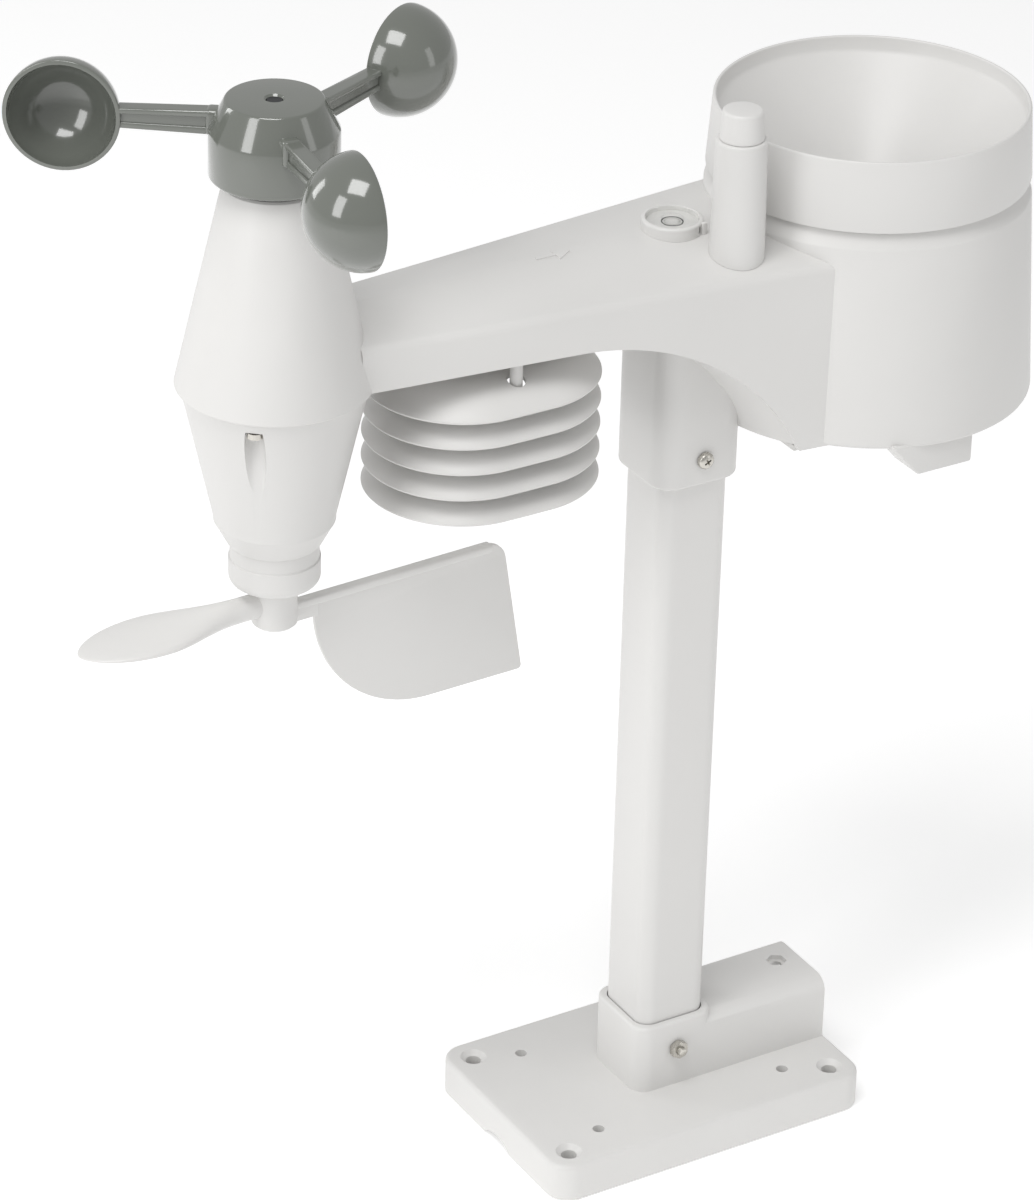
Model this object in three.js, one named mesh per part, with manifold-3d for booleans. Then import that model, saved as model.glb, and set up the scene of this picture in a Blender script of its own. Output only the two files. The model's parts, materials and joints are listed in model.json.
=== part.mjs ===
// Outdoor weather sensor: wind cups, wind vane, tipping-bucket rain gauge and
// radiation shield on one arm, carried by a square pole in a screw-down base.
// Units are millimetres. +Z is up, +X runs along the arm towards the rain gauge,
// and the origin is on the pole's axis, in the plane the base stands on.

import * as THREE from "three";
import { ConvexGeometry } from "three/addons/geometries/ConvexGeometry.js";
import { mergeVertices } from "three/addons/utils/BufferGeometryUtils.js";
import Module from "manifold-3d";

const wasm = await Module();
wasm.setup();

// ---------------------------------------------------------------- driving sizes

const gap = 0.3; // running clearance between separate pieces
const wall = 2.2; // wall of the moulded housings

const plate = { halfX: 60, halfY: 40, top: 13, corner: 8, skin: 3 };
const outerHole = { x: 51, y: 31, r: 2.6, sinkR: 4.6 };
const innerHole = { x: 36, y: 25, r: 2 };
const socket = { half: 15, corner: 6, top: 38, floor: 3 };
const ridge = { end: 58.8, top: 36, corner: 5, boreStart: 18, boreZ: 20.5, boltX: 50.5, boltY: 2.5 };
const pole = { half: 12.5, corner: 5, wall: 1.6, bottom: socket.floor + gap, top: 292 };
const poleBore = { half: pole.half + gap, corner: pole.corner + gap };
const collar = { half: 15.4, corner: 7.4, bottom: 239, top: 295 };
const boltZ = { base: 27.6, collar: 248 };
const m3 = { r: 1.5, hole: 1.8, headR: 2.75, headH: 2, nutR: 3.2, nutH: 2.2 };

const arm = { bottom: 302.7, edge: 317, crown: 322.5, start: -125, end: 66 };
const armHalfAt = (x) => 33.4 + 0.1024 * x;
const arch = { x: -54, r: 84 }; // the curve that frees the pole under the arm
const skinLift = 0.05; // how far the underside lies behind the rim of the walls

const gauge = { x: 66.5, bottom: 255, shoulder: 322.8, neckR: 47.6, neckTop: 336 };
const ring = { bottom: 328, top: 351, topR: 49.4, taper: 0.064, wall: 1.6 };
const gaugeSides = 44;
const gaugeR = (z) => ring.topR + ring.taper * (ring.top - z);
const funnel = { lipZ: 346, throatZ: 312, throatR: 5, spoutZ: 304.5 };
const spout = { halfX: 10, near: 38, far: 51, bottom: 245 };

const wind = { x: -143.3 };
const deck = { speedZ: 340, directionZ: 266, r: 13, thick: 1.6, magnetR: 5, magnetH: 4 };
const cone = { bottom: 302, top: 367.3, bottomR: 29.8, topR: 15.1 };
const pod = { top: 301.7, topR: 28, waistZ: 258, waistR: 18.4, neckZ: 249.5, neckR: 14, bottom: 235.6 };
const podScrew = { r: 25.4, first: 229, grooveR: 3.2, top: 299 };
const shaft = { r: 1.5, hole: 1.8 };
const hub = { top: 393.5, topR: 14.45, seam: 384, r: 19.26, bottom: 369.5 };
const cups = { count: 3, first: 25, reach: 61.9, r: 17.3, wall: 1.3, z: 384.4 };
const vane = { turn: 2.7, hubR: 7, hubTop: 234.9, hubBottom: 220.8, spineZ: 226.3, leafZ: 228.5 };

const shield = { x: -72, halfFlat: 7.5, r: 30.2, count: 5, topRim: 288.4, pitch: 8.6, rise: 7.6, skin: 1.4 };
const post = { r: 2.6, y: 20 };
const antenna = { x: 4.5, y: -21, bottom: 319.2, seam: 358.5, top: 368 };
const level = { x: -5.5, y: 0, r: 9.7, vialR: 8.1, top: 326 };

const cell = { r: 7.1, half: 25, z: 263.6, pitch: 14.7, firstX: 31.6 };
const bay = { x0: 24, x1: 68.4, half: 29.5, top: 272.4, wall: 1.5 };
const door = { x: 43.9, halfX: 26.2, halfY: 31.5, low: 252.9, screwX: 73, tongueHalf: 5 };
const button = { x: 82, r: 2.2, hole: 2.6, flangeR: 3.6, flangeZ: 258.2 };
const lamp = { y: 10, r: 1.5, hole: 1.8, flangeR: 2.4, flangeZ: 258 };
const bucket = { z: 285.5, half: 26, lip: 6, peak: 15, halfX: 11, tilt: 17 };

// -------------------------------------------------------------------- materials

const finishes = {
  shell: { color: 0xe4e4e1, roughness: 0.45, metalness: 0 },
  rotor: { color: 0x838880, roughness: 0.22, metalness: 0 },
  steel: { color: 0xb9b7b0, roughness: 0.3, metalness: 1 },
  brass: { color: 0xc9a65a, roughness: 0.35, metalness: 1 },
  board: { color: 0x2f6b3c, roughness: 0.5, metalness: 0 },
  black: { color: 0x26272a, roughness: 0.5, metalness: 0 },
  vial: { color: 0xdde2d8, roughness: 0.08, metalness: 0 },
  cell: { color: 0x3a4a63, roughness: 0.4, metalness: 0.2 },
  red: { color: 0xb03a34, roughness: 0.3, metalness: 0 },
};

// ------------------------------------------------------------- geometry helpers

const rad = THREE.MathUtils.degToRad;

// A closed mesh becomes a solid that can be joined and cut.
function solid(geometry) {
  const bare = geometry.clone();
  bare.deleteAttribute("normal");
  bare.deleteAttribute("uv");
  const merged = mergeVertices(bare, 1e-4);
  const all = merged.index.array;
  const corners = [];
  for (let i = 0; i < all.length; i += 3) {
    const [a, b, c] = [all[i], all[i + 1], all[i + 2]];
    if (a !== b && b !== c && c !== a) corners.push(a, b, c);
  }
  const points = merged.attributes.position;
  const [p, q, r] = [new THREE.Vector3(), new THREE.Vector3(), new THREE.Vector3()];
  let volume = 0;
  for (let i = 0; i < corners.length; i += 3) {
    p.fromBufferAttribute(points, corners[i]);
    q.fromBufferAttribute(points, corners[i + 1]);
    r.fromBufferAttribute(points, corners[i + 2]);
    volume += p.dot(q.cross(r));
  }
  if (volume < 0) corners.reverse();
  const mesh = new wasm.Mesh({
    numProp: 3,
    vertProperties: new Float32Array(points.array),
    triVerts: new Uint32Array(corners),
  });
  return new wasm.Manifold(mesh);
}

const join = (first, ...rest) => rest.reduce((sum, next) => sum.add(next), first);
const cut = (body, ...tools) => tools.reduce((left, tool) => left.subtract(tool), body);

function arc(cx, cy, r, from, to, steps) {
  return Array.from({ length: steps + 1 }, (_, i) => {
    const angle = rad(from + ((to - from) * i) / steps);
    return [cx + r * Math.cos(angle), cy + r * Math.sin(angle)];
  });
}

function roundedBox(halfX, halfY, r, steps = 3) {
  const corners = [[1, 1, 0], [-1, 1, 90], [-1, -1, 180], [1, -1, 270]];
  return corners.flatMap(([sx, sy, a]) => arc(sx * (halfX - r), sy * (halfY - r), r, a, a + 90, steps));
}

function stadium(halfFlat, r, steps = 16) {
  return [...arc(halfFlat, 0, r, -90, 90, steps), ...arc(-halfFlat, 0, r, 90, 270, steps)];
}

function extrude(outline, depth) {
  const shape = new THREE.Shape(outline.map(([x, y]) => new THREE.Vector2(x, y)));
  return new THREE.ExtrudeGeometry(shape, { depth, bevelEnabled: false });
}

// Outline in X and Y, raised from z0 to z1.
function upright(outline, z0, z1, x = 0, y = 0) {
  return solid(extrude(outline, z1 - z0).translate(x, y, z0));
}

// Outline in X and Z, drawn out along Y.
function alongY(outline, y0, y1, x = 0, z = 0) {
  return solid(extrude(outline, y1 - y0).rotateX(Math.PI / 2).translate(x, y1, z));
}

// Outline in Y and Z, drawn out along X.
function alongX(outline, x0, x1, y = 0, z = 0) {
  const turn = new THREE.Matrix4().set(0, 0, 1, 0, 1, 0, 0, 0, 0, 1, 0, 0, 0, 0, 0, 1);
  return solid(extrude(outline, x1 - x0).applyMatrix4(turn).translate(x0, y, z));
}

// Profile of [radius, height] pairs, turned about a vertical axis.
function turned(profile, steps = 32, x = 0, y = 0) {
  const points = profile.map(([r, z]) => new THREE.Vector2(r, z));
  return solid(new THREE.LatheGeometry(points, steps).rotateX(Math.PI / 2).translate(x, y, 0));
}

function rod(r, z0, z1, x = 0, y = 0, steps = 16) {
  return upright(arc(0, 0, r, 0, 360 - 360 / steps, steps - 1), z0, z1, x, y);
}

function rodY(r, y0, y1, x, z, steps = 16) {
  return alongY(arc(0, 0, r, 0, 360 - 360 / steps, steps - 1), y0, y1, x, z);
}

function rodX(r, x0, x1, y, z, steps = 16) {
  return alongX(arc(0, 0, r, 0, 360 - 360 / steps, steps - 1), x0, x1, y, z);
}

function ringBody(inner, outer, z0, z1, x = 0, y = 0, steps = 16) {
  return turned([[inner, z0], [outer, z0], [outer, z1], [inner, z1], [inner, z0]], steps, x, y);
}

function block(x0, x1, y0, y1, z0, z1) {
  const box = new THREE.BoxGeometry(x1 - x0, y1 - y0, z1 - z0);
  return solid(box.translate((x0 + x1) / 2, (y0 + y1) / 2, (z0 + z1) / 2));
}

// Points round a vertical axis at equal angles.
function around(count, r, firstDegrees, x, y = 0) {
  return Array.from({ length: count }, (_, i) => {
    const angle = rad(firstDegrees + (360 * i) / count);
    return [x + r * Math.cos(angle), y + r * Math.sin(angle)];
  });
}

// ------------------------------------------------------------------- assembly

const station = new THREE.Group();

function piece(name, body, finish, parent = station) {
  const mesh = body.getMesh();
  const geometry = new THREE.BufferGeometry();
  const points = new Float32Array(mesh.vertProperties);
  geometry.setAttribute("position", new THREE.BufferAttribute(points, 3));
  geometry.setIndex(new THREE.BufferAttribute(new Uint32Array(mesh.triVerts), 1));
  geometry.computeVertexNormals();
  const made = new THREE.Mesh(geometry, new THREE.MeshStandardMaterial(finishes[finish]));
  made.name = name;
  parent.add(made);
}

// ------------------------------------------------------------------------ base

function basePlate() {
  const slab = upright(roundedBox(plate.halfX, plate.halfY, plate.corner, 5), 0, plate.top);
  const socketBody = upright(roundedBox(socket.half, socket.half, socket.corner), 0, socket.top);
  const r = ridge.corner;
  const side = socket.half;
  const ridgeEnd = [
    [-side, 0], [side, 0],
    ...arc(side - r, ridge.top - r, r, 0, 90, 3),
    ...arc(-side + r, ridge.top - r, r, 90, 180, 3),
  ];
  const ridgeBody = alongX(ridgeEnd, 0, ridge.end);

  // The underside is hollow, with pads left under the socket, the ridge and the screws.
  const hollowPlan = roundedBox(plate.halfX - plate.skin, plate.halfY - plate.skin, 5);
  const hollow = upright(hollowPlan, -1, plate.top - plate.skin);
  const pads = [block(-side - 3, plate.halfX, -side - 3, side + 3, -2, plate.top)];
  for (const sx of [-1, 1]) {
    pads.push(block(sx * 28 - 1, sx * 28 + 1, -plate.halfY, plate.halfY, -2, plate.top));
    for (const sy of [-1, 1]) {
      pads.push(rod(6.6, -2, plate.top, sx * outerHole.x, sy * outerHole.y, 12));
      pads.push(rod(4.5, -2, plate.top, sx * innerHole.x, sy * innerHole.y, 12));
    }
  }
  const holes = [];
  for (const sx of [-1, 1]) {
    for (const sy of [-1, 1]) {
      const { x, y, r: holeR, sinkR } = outerHole;
      const bore = [[0, -1], [holeR, -1], [holeR, plate.top - 2]];
      const sink = [[sinkR, plate.top], [sinkR, plate.top + 1], [0, plate.top + 1]];
      holes.push(turned([...bore, ...sink], 16, sx * x, sy * y));
      holes.push(rod(innerHole.r, -1, plate.top + 1, sx * innerHole.x, sy * innerHole.y, 10));
    }
  }
  const saddle = rodX(12.2, -plate.halfX - 1, -side - 4, 0, -9.2, 36);
  const bore = poleBore;
  return cut(
    join(cut(slab, cut(hollow, ...pads)), socketBody, ridgeBody),
    ...holes,
    saddle,
    upright(roundedBox(bore.half, bore.half, bore.corner), socket.floor, socket.top + 1),
    alongX(roundedBox(bore.half, bore.half, bore.corner), ridge.boreStart, ridge.end + 1, 0, ridge.boreZ),
    rodY(m3.hole, -side - 1, side + 1, 0, boltZ.base, 12),
    rod(m3.hole, -1, ridge.top + 1, ridge.boltX, ridge.boltY, 12),
    rod(m3.nutR + gap, ridge.top - 1.4, ridge.top + 1, ridge.boltX, ridge.boltY, 6),
  );
}

// A cross-head screw or bolt lying along Y; its head is on the side that `facing` gives.
function clampBolt(z, headY, facing, endY) {
  const tip = headY + facing * m3.headH;
  const head = rodY(m3.headR, Math.min(headY, tip), Math.max(headY, tip), 0, z);
  const shank = rodY(m3.r, Math.min(endY, headY), Math.max(endY, headY), 0, z, 12);
  const slotY = [Math.min(tip - facing, tip + facing), Math.max(tip - facing, tip + facing)];
  const across = block(-1.6, 1.6, ...slotY, z - 0.35, z + 0.35);
  const down = block(-0.35, 0.35, ...slotY, z - 1.6, z + 1.6);
  return cut(join(head, shank), across, down);
}

function hexNut(z, y0, y1) {
  return cut(rodY(m3.nutR, y0, y1, 0, z, 6), rodY(m3.hole, y0 - 1, y1 + 1, 0, z, 12));
}

function poleTube() {
  const inner = pole.half - pole.wall;
  return cut(
    upright(roundedBox(pole.half, pole.half, pole.corner), pole.bottom, pole.top),
    upright(roundedBox(inner, inner, pole.corner - pole.wall), pole.bottom - 1, pole.top + 1),
    rodY(m3.hole, -pole.half - 1, pole.half + 1, 0, boltZ.base, 12),
    rodY(m3.hole, -pole.half - 1, pole.half + 1, 0, boltZ.collar, 12),
  );
}

piece("mounting_base", basePlate(), "shell");
piece("base_bolt", clampBolt(boltZ.base, socket.half + gap, 1, -socket.half - 4.2), "steel");
piece("base_nut", hexNut(boltZ.base, -socket.half - gap - m3.nutH, -socket.half - gap), "steel");
piece("pole", poleTube(), "shell");
piece("collar_screw", clampBolt(boltZ.collar, -collar.half - gap, -1, collar.half + 3.6), "steel");
piece("collar_nut", hexNut(boltZ.collar, collar.half + gap, collar.half + gap + m3.nutH), "steel");

// --------------------------------------------------------------------- housings

// Plan of the arm, narrowed all round by `inset`.
function armPlan(inset, start = arm.start, end = arm.end) {
  const near = armHalfAt(start) - inset;
  const far = armHalfAt(end) - inset;
  return [[start, -near], [end, -far], [end, far], [start, near]];
}

// The crowned top of the arm: two planes that meet on the centre line.
function crownedArm(inset, drop, low, start, end) {
  const points = [];
  for (const x of [start, end]) {
    const half = armHalfAt(x) - inset;
    points.push(new THREE.Vector3(x, 0, arm.crown - drop));
    for (const side of [-half, half]) {
      points.push(new THREE.Vector3(x, side, arm.edge - drop), new THREE.Vector3(x, side, low));
    }
  }
  return solid(new ConvexGeometry(points));
}

// The line of the underside from the wind end, round the arch and under the gauge.
function underside(lift, steps = 14) {
  const drop = arm.bottom - gauge.bottom;
  const sweep = THREE.MathUtils.radToDeg(Math.acos((arch.r - drop) / arch.r));
  const curve = arc(arch.x, arm.bottom - arch.r, arch.r + lift, 90, 90 - sweep, steps);
  return [[-200, arm.bottom + lift], ...curve, [200, gauge.bottom + lift]];
}

function aboveUnderside(lift) {
  return alongY([...underside(lift), [200, 420], [-200, 420]], -80, 80);
}

function gaugeBody(inset, bottom, top) {
  const profile = [[0, bottom], [gaugeR(bottom) - inset, bottom], [gaugeR(top) - inset, top], [0, top]];
  return turned(profile, gaugeSides, gauge.x);
}

const podScrewPlaces = around(3, podScrew.r, podScrew.first, wind.x);

function upperHousing() {
  const neck = turned([
    [0, gauge.shoulder - 1], [gaugeR(gauge.shoulder) - 0.1, gauge.shoulder - 1],
    [gaugeR(gauge.shoulder), gauge.shoulder], [gauge.neckR + 1, gauge.shoulder + 2.6],
    [gauge.neckR, gauge.shoulder + 3.2], [gauge.neckR, gauge.neckTop], [0, gauge.neckTop],
  ], gaugeSides, gauge.x);
  const coneOuter = turned([
    [0, cone.bottom], [cone.bottomR, cone.bottom], [cone.topR, cone.top], [0, cone.top],
  ], 36, wind.x);
  const shellBody = join(
    upright(armPlan(0), 240, arm.edge),
    crownedArm(0, 0, arm.edge - 8, arm.start, arm.end),
    gaugeBody(0, 240, gauge.shoulder),
    neck,
  );
  const inside = [
    upright(armPlan(wall, arm.start - 4, arm.end), 230, arm.edge - wall - 2),
    crownedArm(wall, wall, arm.edge - 10, arm.start - 4, arm.end),
    gaugeBody(wall + 0.2, 230, gauge.shoulder - wall),
    rod(gauge.neckR - 2, gauge.shoulder - 5, gauge.neckTop + 1, gauge.x, 0, gaugeSides),
  ];
  const coneInside = turned([
    [0, cone.bottom - 1], [cone.bottomR - wall, cone.bottom - 1],
    [cone.topR - wall, cone.top - 3], [0, cone.top - 3],
  ], 36, wind.x);
  // Each housing screw bites into a boss just above the joint line.
  const bosses = podScrewPlaces.map(([x, y]) => rod(3.4, cone.bottom + gap, cone.bottom + 11, x, y, 16));
  const pilots = podScrewPlaces.map(([x, y]) => rod(m3.hole, cone.bottom - 1, cone.bottom + 9, x, y, 12));
  const coneShell = join(cut(coneOuter, coneInside), ...bosses.map((boss) => boss.intersect(coneOuter)));
  const armShell = cut(shellBody.intersect(aboveUnderside(0)), ...inside);
  return cut(
    join(cut(armShell, coneInside), cut(coneShell, inside[0], inside[1])),
    ...pilots,
    rod(4, cone.top - 5, cone.top + 1, wind.x, 0, 24),
    rod(2.2, arm.edge - 6, antenna.bottom + 4, antenna.x, antenna.y, 16),
  );
}

function lowerHousing() {
  const clear = wall + gap;
  const planned = join(
    upright(armPlan(clear, wind.x + cone.bottomR + 1.5, arm.end), 240, 306),
    gaugeBody(clear + 0.2, 240, 306),
  );
  const skin = cut(aboveUnderside(skinLift), aboveUnderside(wall)).intersect(planned);
  const collarBody = upright(roundedBox(collar.half, collar.half, collar.corner), collar.bottom, collar.top);
  const bayOuter = bay.half + bay.wall;
  const bayTop = bay.top + bay.wall;
  const bayBlock = block(bay.x0 - bay.wall, bay.x1 + bay.wall, -bayOuter, bayOuter, gauge.bottom, bayTop);
  const bayBox = bayBlock.intersect(aboveUnderside(skinLift));
  const cuts = [
    upright(roundedBox(poleBore.half, poleBore.half, poleBore.corner), collar.bottom - 1, pole.top + gap),
    rodY(m3.hole, -collar.half - 1, collar.half + 1, 0, boltZ.collar, 12),
    block(bay.x0, bay.x1, -bay.half, bay.half, gauge.bottom - 1, bay.top),
  ];
  const spouts = [];
  const spoutRoom = join(block(0, 130, -60, 60, 230, gauge.bottom - gap), gaugeBody(clear + 0.2, 250, 262));
  for (const side of [-1, 1]) {
    const [y0, y1] = side < 0 ? [-spout.far, -spout.near] : [spout.near, spout.far];
    const lip = [
      [-spout.halfX - 10, gauge.bottom + wall], [-spout.halfX, spout.bottom],
      [spout.halfX, spout.bottom], [spout.halfX, gauge.bottom + wall],
    ];
    const bore = [
      [-spout.halfX - 8, gauge.bottom + 4], [-spout.halfX + 1.5, spout.bottom - 1],
      [spout.halfX - 1.5, spout.bottom - 1], [spout.halfX - 1.5, gauge.bottom + 4],
    ];
    spouts.push(alongY(lip, y0, y1, gauge.x, 0).intersect(spoutRoom));
    cuts.push(alongY(bore, y0 + 1.5, y1 - 1.5, gauge.x, 0));
  }
  for (const side of [-1, 1]) {
    cuts.push(rod(1.6, arm.bottom - 1, arm.bottom + 4, shield.x, side * post.y, 12));
  }
  const floorHole = (r, x, y) => rod(r, gauge.bottom - 1, gauge.bottom + 4, x, y, 16);
  cuts.push(floorHole(1.3, door.screwX, 0), floorHole(button.hole, button.x, 0));
  cuts.push(floorHole(lamp.hole, button.x, lamp.y));
  return cut(join(skin, collarBody, bayBox, ...spouts), ...cuts);
}

piece("upper_housing", upperHousing(), "shell");
piece("lower_housing", lowerHousing(), "shell");

// ------------------------------------------------------------ antenna and level

// The sleeve's foot is cut to the slope of the arm's top.
const armClear = crownedArm(-gap, -gap, arm.bottom, arm.start, arm.end);
const sleeve = [
  [2, 312], [8.6, 312], [7.9, antenna.seam - 0.6], [7.4, antenna.seam], [2, antenna.seam], [2, 312],
];
const cap = [
  [2, antenna.seam + gap], [6.8, antenna.seam + gap], [6.3, antenna.top - 0.7],
  [5.7, antenna.top], [0, antenna.top], [0, antenna.top - 2], [2, antenna.top - 2], [2, antenna.seam + gap],
];
piece("antenna_sleeve", cut(turned(sleeve, 24, antenna.x, antenna.y), armClear), "shell");
piece("antenna_cap", turned(cap, 24, antenna.x, antenna.y), "shell");
piece("antenna_rod", rod(1, 306, antenna.top - 2.4, antenna.x, antenna.y, 12), "brass");

const holderRing = turned([
  [level.vialR + gap, 318], [level.r, 318], [level.r, level.top - 0.6], [level.r - 0.6, level.top],
  [level.vialR + gap, level.top], [level.vialR + gap, 318],
], 24, level.x, level.y);
piece("level_holder", cut(holderRing, armClear), "shell");
piece("level_vial", cut(rod(level.vialR, 318, level.top + 0.2, level.x, level.y, 24), armClear), "vial");

// --------------------------------------------------------------- rain collector

function rainCollector() {
  const innerR = (z) => gaugeR(z) - ring.wall;
  return turned([
    [innerR(ring.bottom), ring.bottom], [gaugeR(ring.bottom), ring.bottom],
    [ring.topR, ring.top], [ring.topR - 0.9, ring.top], [innerR(funnel.lipZ), funnel.lipZ],
    [funnel.throatR, funnel.throatZ], [funnel.throatR - 1.4, funnel.spoutZ],
    [funnel.throatR, funnel.spoutZ], [funnel.throatR + 1.4, funnel.throatZ - 1.2],
    [innerR(funnel.lipZ) - 1, funnel.lipZ - 3], [innerR(funnel.lipZ - 3), funnel.lipZ - 5],
    [innerR(ring.bottom), ring.bottom],
  ], gaugeSides, gauge.x);
}

piece("rain_collector", rainCollector(), "shell");

// ---------------------------------------------------------- bucket and its tray

function bucketCradle() {
  const floorZ = bay.top + bay.wall + gap;
  const disc = rod(gaugeR(floorZ) - 5, floorZ, floorZ + 1.6, gauge.x, 0, 32);
  const posts = [];
  const openings = [];
  for (const side of [-1, 1]) {
    const x = gauge.x + side * (bucket.halfX + 3);
    posts.push(block(x - 1.2, x + 1.2, -5, 5, floorZ + 1, bucket.z + 4));
    openings.push(rodX(1.3, x - 2, x + 2, 0, bucket.z, 12));
    openings.push(block(gauge.x - 9, gauge.x + 9, side * 44 - 4, side * 44 + 4, floorZ - 1, floorZ + 3));
  }
  return cut(join(disc, ...posts), ...openings);
}

function tippingBucket() {
  const { half, lip, peak, halfX } = bucket;
  const rim = [[half, lip], [half, lip + 2.4], [1, peak]];
  const outside = [[0, -0.6], ...rim, ...rim.map(([y, z]) => [-y, z]).reverse()];
  const body = alongX(outside, -halfX, halfX);
  const chamber = [[0.8, 1], [half + 1, lip + 1.6], [half + 1, peak + 2], [0.8, peak + 2]];
  const chambers = [
    alongX(chamber, 1.2 - halfX, halfX - 1.2),
    alongX(chamber.map(([y, z]) => [-y, z]).reverse(), 1.2 - halfX, halfX - 1.2),
  ];
  const boss = rodX(2.4, -halfX, halfX, 0, 0, 16);
  return cut(join(cut(body, ...chambers), boss), rodX(1.3, -halfX - 1, halfX + 1, 0, 0, 12));
}

const rocker = new THREE.Group();
rocker.position.set(gauge.x, 0, bucket.z);
rocker.rotation.x = rad(-bucket.tilt);
station.add(rocker);
piece("bucket_cradle", bucketCradle(), "shell");
piece("tipping_bucket", tippingBucket(), "black", rocker);
piece("bucket_axle", rodX(1, -bucket.halfX - 4.6, bucket.halfX + 4.6, 0, 0, 12), "steel", rocker);
piece("bucket_magnet", rodX(2.4, bucket.halfX + gap, bucket.halfX + 1.5, 0, 9, 16), "steel", rocker);

// ------------------------------------------------------- electronics and power

const boardZ = 308;
piece("main_board", cut(
  upright(armPlan(7, -48, 8), boardZ, boardZ + 1.6),
  rod(2, boardZ - 1, boardZ + 3, antenna.x, antenna.y, 12),
), "board");
piece("reed_switch", rodY(1.2, -7, 7, gauge.x + bucket.halfX + 6.2, bucket.z + 9, 12), "vial");
piece("reset_button", join(
  rod(button.r, gauge.bottom - 1, button.flangeZ, button.x, 0, 16),
  rod(button.flangeR, button.flangeZ, button.flangeZ + 1.2, button.x, 0, 16),
), "black");
piece("status_lamp", join(
  rod(lamp.r, gauge.bottom - 0.4, lamp.flangeZ, button.x, lamp.y, 12),
  rod(lamp.flangeR, lamp.flangeZ, lamp.flangeZ + 1.4, button.x, lamp.y, 12),
), "red");
piece("button_board", block(76, 90, -6, 14, gauge.bottom + 5.6, gauge.bottom + 7.2), "board");

for (let i = 0; i < 3; i += 1) {
  const x = cell.firstX + i * cell.pitch;
  const can = rodY(cell.r, -cell.half, cell.half - 1.2, x, cell.z, 24);
  const button = rodY(2.6, cell.half - 1.4, cell.half, x, cell.z, 16);
  piece(`battery_${i + 1}`, join(can, button), "cell");
}
for (const [name, side] of [["front", -1], ["rear", 1]]) {
  const y = [side * (cell.half + 1.2), side * (cell.half + 1.8)].sort((a, b) => a - b);
  piece(`battery_contact_${name}`, block(bay.x0 + 1, bay.x1 - 1, ...y, cell.z - 5, cell.z + 5), "brass");
}

function batteryDoor() {
  const doorTop = gauge.bottom - gap;
  const { x, halfX, halfY, low, screwX, tongueHalf } = door;
  const lid = upright(roundedBox(halfX, halfY, 3), low, doorTop, x, 0);
  const tongue = block(screwX - 3, screwX + 3, -tongueHalf, tongueHalf, low, doorTop);
  return cut(join(lid, tongue), rod(1.6, low - 1, doorTop + 1, screwX, 0, 12));
}
const doorScrew = join(
  rod(2.4, door.low - 1.7, door.low - 0.3, door.screwX, 0, 16),
  rod(1, door.low - 0.5, gauge.bottom + 3, door.screwX, 0, 12),
);
piece("battery_door", batteryDoor(), "shell");
piece("battery_door_screw", doorScrew, "steel");

// -------------------------------------------------------------- wind speed cups

const windAxis = new THREE.Group();
windAxis.position.set(wind.x, 0, 0);
station.add(windAxis);

// The pod closes the cone from below and carries the vane's bearing in its neck.
function windPod() {
  const outer = [
    [pod.topR, pod.top], [pod.waistR, pod.waistZ], [pod.neckR + 0.6, pod.neckZ],
    [pod.neckR - 0.4, pod.neckZ - 0.5], [pod.neckR - 0.4, pod.neckZ - 5], [pod.neckR, pod.neckZ - 5.2],
    [pod.neckR, pod.bottom + 3], [pod.neckR - 1, pod.bottom + 0.9], [pod.neckR - 3, pod.bottom],
  ];
  const inner = [
    [4, pod.bottom], [4, pod.bottom + 2.4], [pod.neckR - 3, pod.bottom + 4],
    [pod.neckR - 2.6, pod.neckZ - 1], [pod.waistR - wall, pod.waistZ + 1], [pod.topR - wall, pod.top],
  ];
  const shell = turned([...outer, ...inner, outer[0]]);
  const whole = turned([[0, pod.bottom], [4, pod.bottom], ...outer.slice(0, 3).reverse(), [0, pod.top]]);
  const places = around(3, podScrew.r, podScrew.first, 0);
  const ribs = places.map(([x, y]) => rod(podScrew.grooveR + 1.8, 270, pod.top, x, y).intersect(whole));
  const grooves = places.map(([x, y]) => rod(podScrew.grooveR, 262, podScrew.top, x, y));
  const screwHoles = places.map(([x, y]) => rod(1.6, podScrew.top - 1, pod.top + 1, x, y, 12));
  return cut(join(shell, ...ribs), ...grooves, ...screwHoles);
}

piece("wind_pod", windPod(), "shell", windAxis);
around(3, podScrew.r, podScrew.first, 0).forEach(([x, y], i) => {
  const head = rod(2.5, podScrew.top - gap - 1.8, podScrew.top - gap, x, y, 16);
  const shank = rod(1.25, podScrew.top - 1, cone.bottom + 8, x, y, 12);
  piece(`pod_screw_${i + 1}`, join(head, shank), "steel", windAxis);
});

const armBar = (grow, from, to) => {
  const rootHalf = 4 + grow;
  const tipHalf = 3.1 + grow;
  const side = [[from, -rootHalf], [to, -tipHalf], [to, tipHalf], [from, rootHalf]];
  return alongY(side, -5.2 - grow, grow, 0, cups.z);
};

function rotorHub() {
  const { top, topR, seam, r, bottom } = hub;
  const profile = [
    [0, top - 2], [2.6, top - 2], [2.6, top], [topR, top], [r, seam], [r, bottom + 1], [r - 1, bottom],
    [r - 2.7, bottom], [r - 2.7, seam - 1], [topR - 1.6, top - 2.6], [5, top - 2.6], [5, bottom + 1],
    [shaft.hole, bottom + 1], [shaft.hole, top - 5.5], [0, top - 5.5],
  ];
  const sockets = Array.from({ length: cups.count }, (_, i) =>
    armBar(gap, 11.5, 40).rotate([0, 0, cups.first + (360 * i) / cups.count]));
  return cut(turned(profile), ...sockets);
}

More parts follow.
